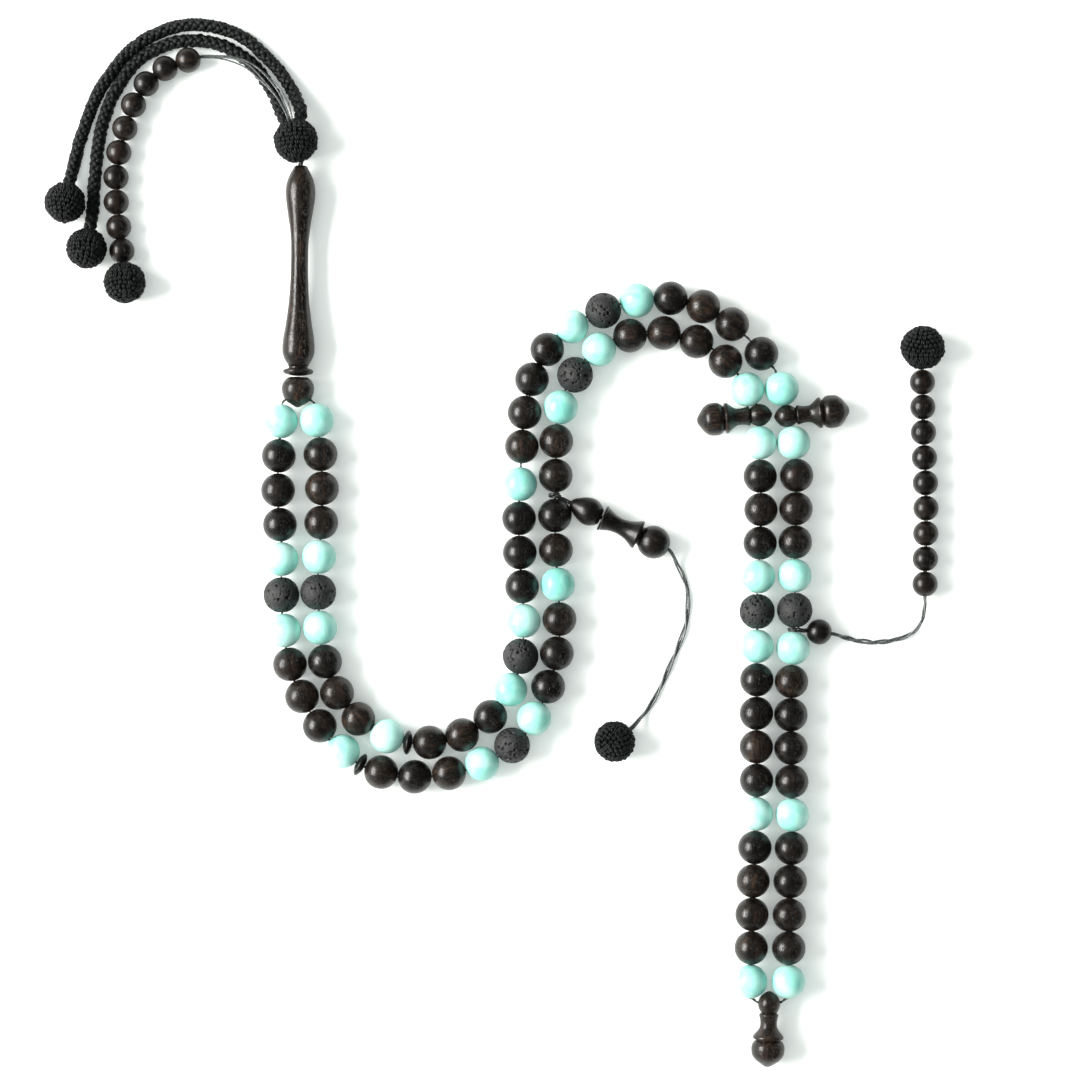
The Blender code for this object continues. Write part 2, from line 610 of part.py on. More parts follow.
def make_counter(right):
    """The counter pendant tied between two beads of the right strand."""
    before, after = (b for b in right.beads if b.number in (COUNTER_BEAD, COUNTER_BEAD + 1))
    joined = unit(after.centre - before.centre)
    centre = (before.centre + joined * before.radius + after.centre - joined * after.radius) / 2
    centre[2] = AXIS_HEIGHT
    stop = spatial(STOP_BEAD, COUNTER_DIAMETER / 2)
    level = unit(spatial((stop - centre)[:2], 0.0))
    stem = [stop + level * reach for reach in STOP_CORD_REACH]
    loop = stem + hook(centre, joined, level, 0.0)[1:]
    tube("counter_loop", loop, STEM_RADIUS, "waxed_cord", centre, resolution=1)
    stop_bead = Bead(0, "S", stop, level, COUNTER_DIAMETER / 2)
    bead_run("counter_stop_bead", [stop_bead], MARKER_BORE, "satin_black_wood", centre)
    exit_point = stop + level * (COUNTER_DIAMETER / 2)
    beads, gaps = strung(COUNTER_CORD_ROUTE, COUNTER_FIRST_BEAD, COUNTER_BEADS, COUNTER_PITCH)
    points = evenly(COUNTER_CORD_ROUTE, CORD_STEP, COUNTER_CORD_RADIUS, gaps)
    tube("counter_cord", points, COUNTER_CORD_RADIUS, "waxed_cord", exit_point)
    bead_run("counter_sliding_bead", beads[:1], COUNTER_BORE, "satin_black_wood", beads[0].centre)
    bead_run("counter_bead_run", beads[1:], COUNTER_BORE, "satin_black_wood", exit_point)
    ball("counter_ball", spatial(COUNTER_BALL[0], COUNTER_BALL[1]), COUNTER_BALL[1], exit_point)


def make_tassel():
    """The tassel over the imam: a ball, two braids with their balls, and a string of ten counters."""
    centre = spatial(HEAD_BALL[0], HEAD_BALL[1])
    ball("tassel_head_ball", centre, HEAD_BALL[1], centre)
    for name, route, (middle, radius) in (
        ("outer", OUTER_BRAID_ROUTE, OUTER_BALL),
        ("inner", INNER_BRAID_ROUTE, INNER_BALL),
    ):
        points = evenly(route, BRAID_STEP, BRAID_RADIUS)
        tube(f"tassel_{name}_braid", points, BRAID_RADIUS, "black_cotton", centre)
        ball(f"tassel_{name}_ball", spatial(middle, radius), radius, centre)
    beads, gaps = strung(TASSEL_STRING_ROUTE, TASSEL_FIRST_BEAD, TASSEL_BEADS, TASSEL_PITCH)
    points = evenly(TASSEL_STRING_ROUTE, CORD_STEP, COUNTER_CORD_RADIUS, gaps)
    tube("tassel_string", points, COUNTER_CORD_RADIUS, "waxed_cord", centre)
    bead_run("tassel_sliding_bead", beads[:1], COUNTER_BORE, "satin_black_wood", beads[0].centre)
    bead_run("tassel_bead_run", beads[1:], COUNTER_BORE, "satin_black_wood", centre)
    ball("tassel_string_ball", spatial(STRING_BALL[0], STRING_BALL[1]), STRING_BALL[1], centre)


def main():
    for obj in list(bpy.data.objects):
        bpy.data.objects.remove(obj, do_unlink=True)
    left = strand(LEFT_ROUTE, LEFT_HEAD_POINT, LEFT_SLACK)
    right = strand(RIGHT_ROUTE, RIGHT_HEAD_POINT, RIGHT_SLACK)
    make_strand("left", left, LEFT_RUNS)
    make_strand("right", right, RIGHT_RUNS)
    make_imam()
    make_stringing_cord(left, right)
    make_finial("left_cross_finial", *LEFT_FINIAL, left.head_axis)
    make_finial("right_cross_finial", *RIGHT_FINIAL, right.head_axis)
    make_finial("end_finial", *END_FINIAL, (1.0, 0.0), END_FINIAL_LENGTH)
    make_marker(left)
    make_counter(right)
    make_tassel()


main()
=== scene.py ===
"""Looks of the misbaha prayer beads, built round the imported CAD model.

Lengths are in millimetres until a mesh is made. The routes and sizes are those of part.py.
"""

import math
from collections import namedtuple

import bpy
import numpy as np
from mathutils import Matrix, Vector, noise


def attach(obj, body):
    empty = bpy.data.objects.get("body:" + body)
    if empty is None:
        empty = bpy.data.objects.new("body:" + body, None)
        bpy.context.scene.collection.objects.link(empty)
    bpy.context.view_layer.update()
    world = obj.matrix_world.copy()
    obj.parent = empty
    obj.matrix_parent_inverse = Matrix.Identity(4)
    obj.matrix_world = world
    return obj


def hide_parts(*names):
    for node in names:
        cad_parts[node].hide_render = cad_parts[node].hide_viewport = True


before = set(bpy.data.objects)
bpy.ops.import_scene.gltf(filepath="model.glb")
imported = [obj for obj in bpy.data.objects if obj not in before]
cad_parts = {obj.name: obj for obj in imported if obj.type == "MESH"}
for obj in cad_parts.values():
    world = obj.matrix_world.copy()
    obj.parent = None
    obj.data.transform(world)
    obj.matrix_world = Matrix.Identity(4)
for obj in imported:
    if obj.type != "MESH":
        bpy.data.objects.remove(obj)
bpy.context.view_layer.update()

MM = 0.001
SEED = 41
BEAD_SWELL = 1.022

# ---- sizes and routes of part.py

LAYOUT_SHIFT = np.array([-0.07, 0.12, 0.0])
BEAD_DIAMETER = {"W": 8.0, "A": 8.05, "V": 8.6, "D": 2.1}
LOWER_GRADE = 0.985
UPPER_PATTERN = "AWWWAVAWWWA" + "D" + "WWWAVAWWWAWWWWAVAWWWWA"
LOWER_PATTERN = "AWWWAVAWWWWAWWWWA"
AXIS_HEIGHT = 4.03
DISC_DIAMETER = 5.9
DISC_THICKNESS = 2.1
COUNTER_DIAMETER = 5.95
COUNTER_PITCH = 6.08
TASSEL_PITCH = 6.0
JUNCTION = (-61.7, 49.0)
IMAM_DIRECTION = (0.013, 1.0)
RING_START = 3.1
SHAFT_START = 5.2
IMAM_CORD_SPAN = (3.2, 53.3)
HEAD_HALF = 2.62
LEFT_FINIAL = ((49.3, 42.5), (-0.9957, -0.0925))
RIGHT_FINIAL = ((55.4, 42.2), (0.9950, 0.1002))
END_FINIAL = ((51.4, -98.6), (-0.029, -1.0))
MARKER_BEAD = 23
MARKER_ANGLE = -25.4
DROP_START = 4.1
SPOOL_START = 12.4
MARKER_ROUND = (26.1, 3.9)
COUNTER_BEAD = 39
STOP_BEAD = (63.5, -9.6)
HEAD_BALL = ((-62.1, 108.2), 5.35)
OUTER_BALL = ((-117.4, 93.4), 4.95)
INNER_BALL = ((-112.3, 82.4), 4.9)
STRING_BALL = ((-103.1, 74.2), 5.1)
MARKER_BALL = ((14.3, -35.8), 4.95)
COUNTER_BALL = ((88.1, 58.6), 5.3)
LEFT_ROUTE = (
    (-65.5, 45.3), (-65.75, 41.0), (-66.6, 24.7), (-65.4, 8.2), (-66.1, 0.0), (-65.0, -8.5),
    (-64.1, -16.6), (-61.2, -24.5), (-56.7, -31.9), (-51.1, -38.6), (-41.9, -43.6), (-33.4, -44.5),
    (-25.0, -43.5), (-17.2, -41.3), (-9.6, -36.9), (-4.7, -30.2), (-1.6, -22.7), (0.7, -14.6),
    (1.2, -6.2), (0.6, 2.0), (-0.1, 18.3), (0.3, 28.0), (0.2, 36.3), (1.0, 44.4), (4.5, 52.2),
    (10.2, 58.6), (17.8, 61.7), (25.9, 62.6), (34.0, 60.4), (40.9, 56.0), (45.6, 49.5),
    (49.3, 42.5), (48.6, 35.5), (49.4, 27.7), (49.3, 11.5), (48.6, 3.6), (48.5, -4.8), (48.5, -13.1),
    (48.3, -37.2), (48.4, -53.2), (47.5, -69.1), (47.1, -85.4), (46.8, -97.6),
)
LEFT_HEAD_POINT = 31
RIGHT_ROUTE = (
    (-57.7, 45.4), (-57.45, 41.2), (-56.1, 33.0), (-56.0, 16.4), (-56.8, 8.4), (-56.9, 0.1),
    (-56.4, -8.3), (-55.5, -16.5), (-52.7, -24.4), (-47.2, -30.7), (-40.4, -35.1), (-30.0, -36.4),
    (-22.2, -34.6), (-15.4, -30.2), (-10.4, -23.7), (-8.1, -15.5), (-7.4, -7.3), (-7.9, 0.9),
    (-8.5, 9.0), (-8.7, 17.5), (-8.4, 25.8), (-7.5, 42.3), (-5.9, 50.4), (-2.6, 57.9), (3.4, 63.9),
    (11.3, 67.4), (19.0, 70.1), (27.5, 70.9), (35.6, 68.8), (42.7, 64.4), (49.4, 57.4),
    (55.2, 49.5), (55.4, 42.2), (58.0, 35.3), (57.9, 27.7), (57.7, 11.4), (57.4, 3.6), (57.7, -4.7),
    (57.1, -13.9), (56.7, -21.8), (56.6, -37.8), (57.0, -53.9), (56.4, -69.6), (56.1, -85.4),
    (56.0, -97.6),
)
RIGHT_HEAD_POINT = 32
LEFT_SLACK = {MARKER_BEAD: 1.3, 31: 0.3, 32: 0.3}
RIGHT_SLACK = {21: 0.8, 31: 1.8, 32: 1.9, COUNTER_BEAD: 0.8}
LEFT_RUNS = (
    (1, 1), (2, 4), (5, 7), (8, 10), (11, 11), (12, 14), (15, 17), (18, 23), (24, 25), (26, 28),
    (29, 33), (34, 37), (38, 40), (41, 49), (50, 50),
)
RIGHT_RUNS = (
    (1, 1), (2, 4), (5, 7), (8, 10), (11, 11), (12, 14), (15, 17), (18, 25), (26, 28),
    (29, 33), (34, 37), (38, 39), (40, 49), (50, 50),
)
OUTER_BRAID_ROUTE = (
    (-60.9, 114.3, 5.3), (-61.2, 116.4, 4.6), (-63.2, 120.6, 2.5), (-66.9, 126.0, 1.5), (-73.8, 132.6, 1.5),
    (-80.0, 135.6, 1.5), (-86.0, 136.6, 1.5), (-91.6, 136.0, 1.5), (-96.8, 134.0, 1.5),
    (-101.2, 131.2, 1.5), (-104.9, 127.6, 1.5), (-109.7, 120.7, 1.5), (-111.8, 116.0, 1.5),
    (-113.5, 111.2, 1.5), (-114.9, 106.6, 1.5), (-116.0, 102.0, 1.8), (-116.7, 98.7, 3.0),
)
INNER_BRAID_ROUTE = (
    (-65.1, 113.7, 5.1), (-66.0, 115.8, 4.2), (-68.0, 120.4, 1.9), (-72.6, 126.8, 1.5),
    (-78.7, 130.9, 1.5), (-82.8, 132.3, 1.5), (-87.1, 132.8, 1.5), (-91.3, 132.4, 1.5),
    (-95.2, 131.0, 1.5), (-99.0, 129.0, 1.5), (-102.3, 125.9, 1.5), (-107.0, 118.3, 1.5),
    (-109.6, 109.8, 1.5), (-110.7, 100.3, 1.5), (-111.3, 91.4, 2.0), (-111.7, 87.6, 3.6),
)
TASSEL_STRING_ROUTE = (
    (-63.5, 113.7, 7.9), (-64.4, 115.8, 7.0), (-67.0, 120.2, 4.5), (-71.4, 125.0, 4.0),
    (-74.6, 127.2, 3.8), (-78.6, 128.3, 3.3), (-82.4, 128.6, 3.0), (-85.2, 128.5, 3.0),
    (-88.2, 127.9, 3.0), (-94.0, 126.1, 3.0), (-98.6, 122.2, 3.0), (-101.5, 116.8, 3.0),
    (-103.5, 111.2, 3.0), (-105.0, 105.4, 3.0), (-105.6, 99.6, 3.0), (-105.5, 93.6, 3.0),
    (-104.9, 87.7, 3.0), (-104.1, 81.9, 3.0), (-103.7, 79.3, 3.0),
)
TASSEL_FIRST_BEAD = 8
TASSEL_BEADS = 10
MARKER_CORD_ROUTE = (
    (27.45, 10.1, 4.0), (28.1, 9.1, 3.3), (29.4, 6.6, 1.1), (30.7, 4.1, 0.5), (31.6, 1.4, 0.5),
    (32.0, -1.0, 0.5), (32.0, -3.6, 0.5), (31.4, -8.4, 0.5), (30.2, -11.9, 0.5), (28.8, -15.3, 0.5),
    (27.4, -18.6, 0.5), (25.9, -22.0, 0.5), (24.2, -25.4, 0.5), (22.3, -28.4, 0.6),
    (20.5, -30.6, 1.3), (18.8, -32.4, 2.7),
)
COUNTER_CORD_ROUTE = (
    (66.9, -10.1, 3.0), (68.4, -10.6, 2.6), (70.6, -11.2, 1.2), (73.2, -11.8, 0.6),
    (76.0, -12.1, 0.55), (78.4, -12.1, 0.55), (80.4, -11.9, 0.55), (82.7, -11.4, 0.6),
    (84.7, -10.7, 0.8), (86.4, -9.7, 1.3), (87.6, -8.2, 2.0), (88.4, -6.2, 2.7), (88.8, -3.8, 3.0),
    (88.9, -1.2, 3.0), (88.9, 1.9, 3.0), (89.0, 8.1, 3.0), (89.1, 14.2, 3.0), (89.2, 20.3, 3.0),
    (89.0, 26.4, 3.0), (88.8, 32.4, 3.0), (88.5, 38.5, 3.0), (88.4, 44.6, 3.0), (88.3, 50.6, 3.0),
    (88.2, 53.3, 3.1),
)
COUNTER_FIRST_BEAD = 14
COUNTER_BEADS = 9

# ---- sizes of threads, stitches and turned surfaces, in millimetres

CORD_SPACING = 0.25
STRING_LOWEST = 0.57
MARKER_CORD_LOWEST = 0.52
STEM_START = 28.5
# How far the threads spread from the cord's middle line, at even places from its start to its end.
TASSEL_STRING_SPREAD = (0.4, 0.85, 0.95, 0.95, 0.75, 0.32, 0.24) + (0.26,) * 11
MARKER_LOOP_SPREAD = (0.3,) * 18 + (0.28, 0.45, 0.48, 0.46, 0.44, 0.4)
MARKER_CORD_SPREAD = (0.2, 0.4, 0.42, 0.44, 0.42, 0.38, 0.3)
COUNTER_CORD_SPREAD = (0.2, 0.4, 0.42, 0.36, 0.28) + (0.26,) * 12
# The crocheted balls: how deep a stitch's ends sink, the core's rows and sides, and its unevenness.
STITCH_SINK = 0.46
CORE_ROWS = 15
CORE_SIDES = 24
BALL_UNEVENNESS = 0.022
# Turned pieces keep a smooth surface nearer to their axis than this.
SMOOTH_REACH = 1.2
BEAD_ROUGHNESS = 0.012
LAVA_SEED = {"left": 500, "right": 700}


# ---- outlines of the turned pieces

FINIAL_OUTLINE = (
    (-2.85, 0.0), (-2.8, 0.3), (-2.45, 1.0), (-1.75, 1.88), (-0.85, 2.46), (0.15, 2.68), (1.0, 2.56),
    (1.7, 2.28), (2.2, 1.98), (2.33, 1.86), (2.42, 1.8), (2.5, 1.86), (2.56, 2.15), (2.72, 2.3),
    (2.95, 2.33), (3.3, 2.24), (3.9, 2.1), (4.8, 2.0), (5.8, 2.1), (6.6, 2.55), (7.3, 3.15),
    (7.85, 3.62), (8.05, 3.7), (8.4, 3.7), (8.55, 3.55), (8.72, 3.1), (8.85, 3.0), (9.0, 3.1),
    (9.35, 3.5), (10.2, 3.93), (11.3, 3.98), (12.5, 3.78), (13.6, 3.0), (14.4, 1.95), (14.95, 1.1),
    (15.25, 0.5), (15.3, 0.0),
)
JUNCTION_OUTLINE = (
    (-4.7, 0.0), (-4.62, 0.4), (-4.1, 1.35), (-3.3, 2.68), (-2.2, 3.45), (-0.4, 3.92), (0.9, 3.72),
    (1.8, 3.2), (2.38, 2.62), (2.48, 2.46), (2.5, 2.3), (2.5, 1.0), (1.0, 0.95), (0.9, 0.0),
)
RING_OUTLINE = (
    (-0.2, 1.1), (-0.2, 1.4), (-0.1, 1.9), (-0.03, 2.2), (0.0, 2.3), (0.06, 2.6), (0.2, 3.15),
    (0.4, 3.5), (0.7, 3.65), (0.95, 3.66), (1.2, 3.52), (1.42, 3.15), (1.55, 2.6), (1.6, 2.3),
    (1.7, 2.34), (1.96, 2.34), (2.03, 2.26), (2.03, 1.1),
)
SHAFT_OUTLINE = (
    (0.0, 1.1), (0.0, 2.3), (0.05, 2.44), (0.5, 2.6), (0.95, 2.9), (1.6, 3.3), (2.9, 3.77),
    (4.2, 3.9), (6.5, 3.72), (10.0, 3.15), (15.0, 2.5), (20.0, 2.16), (25.0, 2.05), (29.5, 2.12),
    (33.5, 2.5), (37.0, 3.05), (40.0, 3.48), (42.0, 3.56), (44.0, 3.32), (46.0, 2.55), (47.4, 1.8),
    (47.9, 1.55), (48.05, 1.35), (48.1, 1.1),
)
DROP_OUTLINE = (
    (0.0, 0.6), (0.05, 0.8), (0.5, 1.35), (1.2, 1.85), (2.2, 2.5), (3.3, 3.03), (4.6, 3.36),
    (5.8, 3.25), (7.0, 2.7), (7.7, 2.1), (8.0, 1.75), (8.0, 0.6),
)
SPOOL_OUTLINE = (
    (0.0, 0.6), (0.0, 2.85), (0.05, 3.05), (0.15, 3.14), (0.42, 3.14), (0.52, 3.02), (0.62, 2.86),
    (1.2, 2.7), (1.9, 2.42), (3.0, 2.08), (4.6, 1.92), (6.2, 2.12), (7.4, 2.5), (8.3, 2.95),
    (8.9, 3.3), (9.18, 3.46), (9.26, 3.5), (9.76, 3.5), (9.84, 3.42), (9.86, 3.1), (9.7, 2.8),
    (9.35, 2.6), (9.3, 2.5), (9.3, 0.6),
)
MARKER_COLLAR_OUTLINE = (
    (21.74, 0.7), (21.74, 2.15), (21.8, 2.28), (21.98, 2.3), (22.08, 2.1), (22.14, 2.1),
    (22.24, 2.3), (22.42, 2.3), (22.5, 2.1), (22.56, 2.1), (22.66, 2.3), (22.84, 2.3),
    (22.94, 2.1), (23.0, 0.7),
)

Bead = namedtuple("Bead", "number kind centre axis radius")
Strand = namedtuple("Strand", "beads discs gaps head_axis")
Look = namedtuple("Look", "material slot")


# ---- curves and places, as in part.py


def smooth(points, steps=24):
    """Samples of a Catmull-Rom curve through the points."""
    points = np.array(points, float)
    ends = np.vstack([2 * points[0] - points[1], points, 2 * points[-1] - points[-2]])
    t = (np.arange(steps) / steps)[:, None]
    spans = [
        b + 0.5 * ((c - a) * t + (2 * a - 5 * b + 4 * c - d) * t**2 + (3 * b - a - 3 * c + d) * t**3)
        for a, b, c, d in zip(ends, ends[1:], ends[2:], ends[3:])
    ]
    return np.vstack(spans + [points[-1:]])


def distances(curve):
    """How far along the curve each of its samples lies."""
    steps = np.linalg.norm(np.diff(curve, axis=0), axis=1)
    return np.concatenate([[0.0], np.cumsum(steps)])


def at(curve, along, where):
    """The point or points of the curve at these distances along it."""
    return np.stack([np.interp(where, along, curve[:, k]) for k in range(curve.shape[1])], axis=-1)


def unit(vector):
    vector = np.array(vector, float)
    return vector / np.linalg.norm(vector)


def spatial(point, height):
    """A point of the layout as a point in space."""
    return np.array([point[0], point[1], height])


def polar(angle):
    """The direction in the layout at this angle in degrees from +X."""
    return np.array([math.cos(math.radians(angle)), math.sin(math.radians(angle)), 0.0])


def walk(start, end, pattern, first, slack, grade):
    """The (number, kind, near end, far end) of each piece threaded on a stretch of the curve."""
    sizes = [BEAD_DIAMETER[kind] * (1.0 if kind == "D" else grade) for kind in pattern]
    count = sum(kind != "D" for kind in pattern)
    extra = sum(length for number, length in slack.items() if first <= number < first + count)
    share = (end - start - sum(sizes) - extra) / (len(pattern) + 1)
    pieces = []
    place, number = start + share, first - 1
    for kind, size in zip(pattern, sizes):
        number += kind != "D"
        pieces.append((number, kind, place, place + size))
        place += size + share + (slack.get(number, 0.0) if kind != "D" else 0.0)
    return pieces


def strand(route, head_point, slack):
    """The fifty beads of one strand, its disc, its cord's points and the axis of its finial's hole."""
    steps = 24
    curve = smooth(route, steps)
    along = distances(curve)
    head = along[head_point * steps]
    upper = walk(0.0, head - HEAD_HALF, UPPER_PATTERN, 1, slack, 1.0)
    first_lower = 1 + sum(kind != "D" for kind in UPPER_PATTERN)
    lower = walk(head + HEAD_HALF, along[-1], LOWER_PATTERN, first_lower, slack, LOWER_GRADE)
    beads, discs, gaps = [], [], []
    for pieces in (upper, lower):
        before = pieces[0][2] - 0.2
        if pieces is lower:
            gaps.append(head)
        for k, (number, kind, near, far) in enumerate(pieces):
            ends = at(curve, along, np.array([near, far]))
            radius = AXIS_HEIGHT if kind == "D" else (far - near) / 2
            axis = unit(ends[1] - ends[0])
            piece = Bead(number, kind, spatial(ends.mean(0), radius), spatial(axis, 0.0), radius)
            (discs if kind == "D" else beads).append(piece)
            gaps.append((before + near) / 2)
            before = far
            if k == len(pieces) - 1:
                gaps.append(far + 0.1)
    cord = [spatial(point, AXIS_HEIGHT) for point in at(curve, along, np.array(gaps))]
    tangent = at(curve, along, head + 1.0) - at(curve, along, head - 1.0)
    return Strand(beads, discs, cord, spatial(unit(tangent), 0.0))


def strung(route, first, count, pitch):
    """Beads at an even pitch along a cord's route, from one of its points, and the gaps before them."""
    steps = 24
    curve = smooth(route, steps)
    along = distances(curve)
    start = along[first * steps]
    gaps = [start + (k - 0.5) * pitch for k in range(count)]
    beads = []
    for k in range(count):
        near, far = at(curve, along, start + k * pitch + np.array([-0.5, 0.5]) * COUNTER_DIAMETER)
        centre = spatial(((near + far) / 2)[:2], COUNTER_DIAMETER / 2)
        axis = spatial(unit((far - near)[:2]), 0.0)
        beads.append(Bead(k + 1, "S", centre, axis, COUNTER_DIAMETER / 2))
    return beads, gaps


def cord_line(route, lowest, spacing, source, target, threaded=()):
    """Points of the smooth curve through a route, carried on into what the cord comes out of and ends in.

    Source and target are each a point and how far towards it the cord goes on. Through threaded beads
    the cord runs straight from gap to gap.
    """
    curve = smooth(route)
    curve[:, 2] = np.maximum(curve[:, 2], lowest)
    if threaded:
        along = distances(curve)
        curve = np.vstack([curve[along < threaded[0]], at(curve, along, np.array(threaded)), curve[-1:]])
    start = curve[0] + unit(source[0] - curve[0]) * source[1]
    end = curve[-1] + unit(target[0] - curve[-1]) * target[1]
    curve = np.vstack([start, curve, end])
    along = distances(curve)
    return at(curve, along, np.linspace(0.0, along[-1], round(along[-1] / spacing) + 1))


# ---- materials


def add(tree, kind, inputs=None, **settings):
    """A node of the tree with its settings and its inputs' values or links."""
    made = tree.nodes.new("ShaderNode" + kind)
    for key, value in settings.items():
        setattr(made, key, value)
    for key, value in (inputs or {}).items():
        if isinstance(value, bpy.types.NodeSocket):
            tree.links.new(value, made.inputs[key])
        else:
            made.inputs[key].default_value = value
    return made


def ramp(tree, value, stops):
    """A colour ramp with (place, grey value or colour) stops."""
    made = add(tree, "ValToRGB", {0: value})
    elements = made.color_ramp.elements
    for k, (place, colour) in enumerate(stops):
        stop = elements[k] if k < 2 else elements.new(place)
        stop.position = place
        stop.color = (*colour, 1.0) if isinstance(colour, tuple) else (colour, colour, colour, 1.0)
    return made.outputs[0]


def grain_noise(tree, scale, detail=4.0, roughness=0.55, distortion=0.0):
    """Noise over the piece's own coordinates, which are in millimetres, stretched by a scale."""
    place = add(tree, "Attribute", attribute_name="grain").outputs["Vector"]
    moved = add(tree, "Mapping", {"Vector": place, "Scale": scale}).outputs[0]
    made = add(
        tree, "TexNoise",
        {"Vector": moved, "Scale": 1.0, "Detail": detail, "Roughness": roughness, "Distortion": distortion},
    )
    return made.outputs["Fac"]


def maths(tree, operation, a, b):
    return add(tree, "Math", {0: a, 1: b}, operation=operation).outputs[0]


def start_material(name, **values):
    """A new material, its tree and its shader, with the shader's own values."""
    material = bpy.data.materials.new(name)
    material.use_nodes = True
    tree = material.node_tree
    shader = tree.nodes["Principled BSDF"]
    for key, value in values.items():
        shader.inputs[key.replace("_", " ")].default_value = value
    return material, tree, shader


def bump(tree, shader, height, distance):
    made = add(tree, "Bump", {"Height": height, "Distance": distance, "Strength": 1.0})
    tree.links.new(made.outputs[0], shader.inputs["Normal"])


def wood(name, stops, pore_share, gloss):
    """Fine dark wood: streaks along the grain, short open pores and a buffed surface."""
    material, tree, shader = start_material(name, Specular_IOR_Level=0.4)
    tone = add(tree, "Attribute", attribute_name="tone").outputs["Fac"]
    streaks = grain_noise(tree, (0.75, 0.75, 0.09), 5.0, 0.62, 0.8)
    fine = grain_noise(tree, (6.0, 6.0, 0.45), 3.0)
    pores = grain_noise(tree, (5.0, 5.0, 0.9), 1.0)
    value = maths(tree, "ADD", streaks, maths(tree, "MULTIPLY", tone, 0.22))
    value = maths(tree, "ADD", value, maths(tree, "MULTIPLY", fine, 0.14))
    open_pore = ramp(tree, pores, ((pore_share, 0.0), (pore_share + 0.05, 1.0)))
    colour = ramp(tree, value, stops)
    shaded = add(
        tree, "Mix", {0: open_pore, 6: (0.0015, 0.0013, 0.0012, 1.0), 7: colour}, data_type="RGBA"
    ).outputs[2]
    tree.links.new(shaded, shader.inputs["Base Color"])
    rough = ramp(tree, fine, ((0.3, gloss), (0.7, gloss + 0.1)))
    tree.links.new(rough, shader.inputs["Roughness"])
    height = maths(tree, "ADD", maths(tree, "MULTIPLY", fine, 0.22), open_pore)
    bump(tree, shader, height, 0.00005)
    return material


def stone():
    """Amazonite: cloudy pale aqua, paler veins, a polished and slightly deep surface."""
    material, tree, shader = start_material(
        "amazonite_stone", Roughness=0.34, Subsurface_Weight=0.4, Subsurface_Scale=MM,
        Subsurface_Radius=(0.8, 1.3, 1.2),
    )
    tone = add(tree, "Attribute", attribute_name="tone").outputs["Fac"]
    cloud = grain_noise(tree, (0.16, 0.16, 0.16), 3.0, 0.45, 0.5)
    veins = grain_noise(tree, (0.3, 0.3, 0.16), 1.5, 0.4, 0.5)
    value = maths(tree, "ADD", cloud, maths(tree, "MULTIPLY", tone, 0.3))
    body = ramp(
        tree, value,
        (
            (0.38, (0.20, 0.57, 0.49)), (0.56, (0.27, 0.65, 0.57)), (0.72, (0.35, 0.71, 0.63)),
            (0.90, (0.48, 0.78, 0.72)),
        ),
    )
    vein = ramp(tree, veins, ((0.44, 0.0), (0.5, 0.22), (0.56, 0.0)))
    shaded = add(tree, "Mix", {0: vein, 6: body, 7: (0.62, 0.88, 0.82, 1.0)}, data_type="RGBA").outputs[2]
    tree.links.new(shaded, shader.inputs["Base Color"])
    bump(tree, shader, grain_noise(tree, (1.6, 1.6, 1.6), 2.0), 0.00001)
    return material


def lava():
    """Basalt: charcoal, dull and gritty all over, with painted shade in its pits."""
    material, tree, shader = start_material("lava_stone")
    depth = add(tree, "Attribute", attribute_name="tone").outputs["Fac"]
    grit = grain_noise(tree, (5.5, 5.5, 5.5), 5.0, 0.7)
    stops = (
        (0.35, (0.005, 0.005, 0.0055)), (0.6, (0.022, 0.0225, 0.023)), (0.74, (0.085, 0.086, 0.086)),
    )
    colour = ramp(tree, grit, stops)
    # Painted shade: the tone attribute holds each point's pit depth, which mixes in near-black.
    shaded = add(
        tree, "Mix", {0: depth, 6: colour, 7: (0.003, 0.003, 0.003, 1.0)}, data_type="RGBA"
    ).outputs[2]
    tree.links.new(shaded, shader.inputs["Base Color"])
    tree.links.new(ramp(tree, grit, ((0.3, 0.42), (0.75, 0.7))), shader.inputs["Roughness"])
    bump(tree, shader, grit, 0.00012)
    return material


def thread(name, dark, light, roughness, shine, depth):
    """Yarn or waxed thread: fibres that run round the strand with its twist."""
    material, tree, shader = start_material(name, Specular_IOR_Level=shine)
    fibres = grain_noise(tree, (9.0, 9.0, 0.6), 3.0, 0.6)
    soft = grain_noise(tree, (0.9, 0.9, 0.25), 2.0)
    value = maths(tree, "ADD", maths(tree, "MULTIPLY", fibres, 0.7), maths(tree, "MULTIPLY", soft, 0.3))
    tree.links.new(ramp(tree, value, ((0.35, dark), (0.68, light))), shader.inputs["Base Color"])
    rough = ramp(tree, fibres, ((0.3, roughness - 0.08), (0.7, roughness + 0.08)))
    tree.links.new(rough, shader.inputs["Roughness"])
    bump(tree, shader, fibres, depth)
    return material


EBONY = Look(
    wood(
        "ebony_wood",
        (
            (0.48, (0.0016, 0.0014, 0.0012)), (0.66, (0.0034, 0.0027, 0.0021)),
            (0.80, (0.011, 0.0074, 0.0052)), (0.95, (0.042, 0.024, 0.015)),
        ),
        0.36, 0.24,
    ),
    "ebony",
)
SATIN = Look(
    wood(
        "satin_black_wood_grain",
        ((0.48, (0.0014, 0.0013, 0.0012)), (0.68, (0.0034, 0.0027, 0.0023)), (0.92, (0.018, 0.0105, 0.007))),
        0.30, 0.27,
    ),
    "satin_black_wood",
)
AMAZONITE = Look(stone(), "amazonite")
LAVA = Look(lava(), "lava")
COTTON = Look(
    thread("black_cotton_yarn", (0.0002, 0.0003, 0.0003), (0.0095, 0.0120, 0.0112), 0.5, 0.22, 0.00008),
    "black_cotton",
)
WAXED = Look(
    thread("waxed_thread", (0.004, 0.0045, 0.0045), (0.040, 0.045, 0.043), 0.3, 0.6, 0.00004),
    "waxed_cord",
)
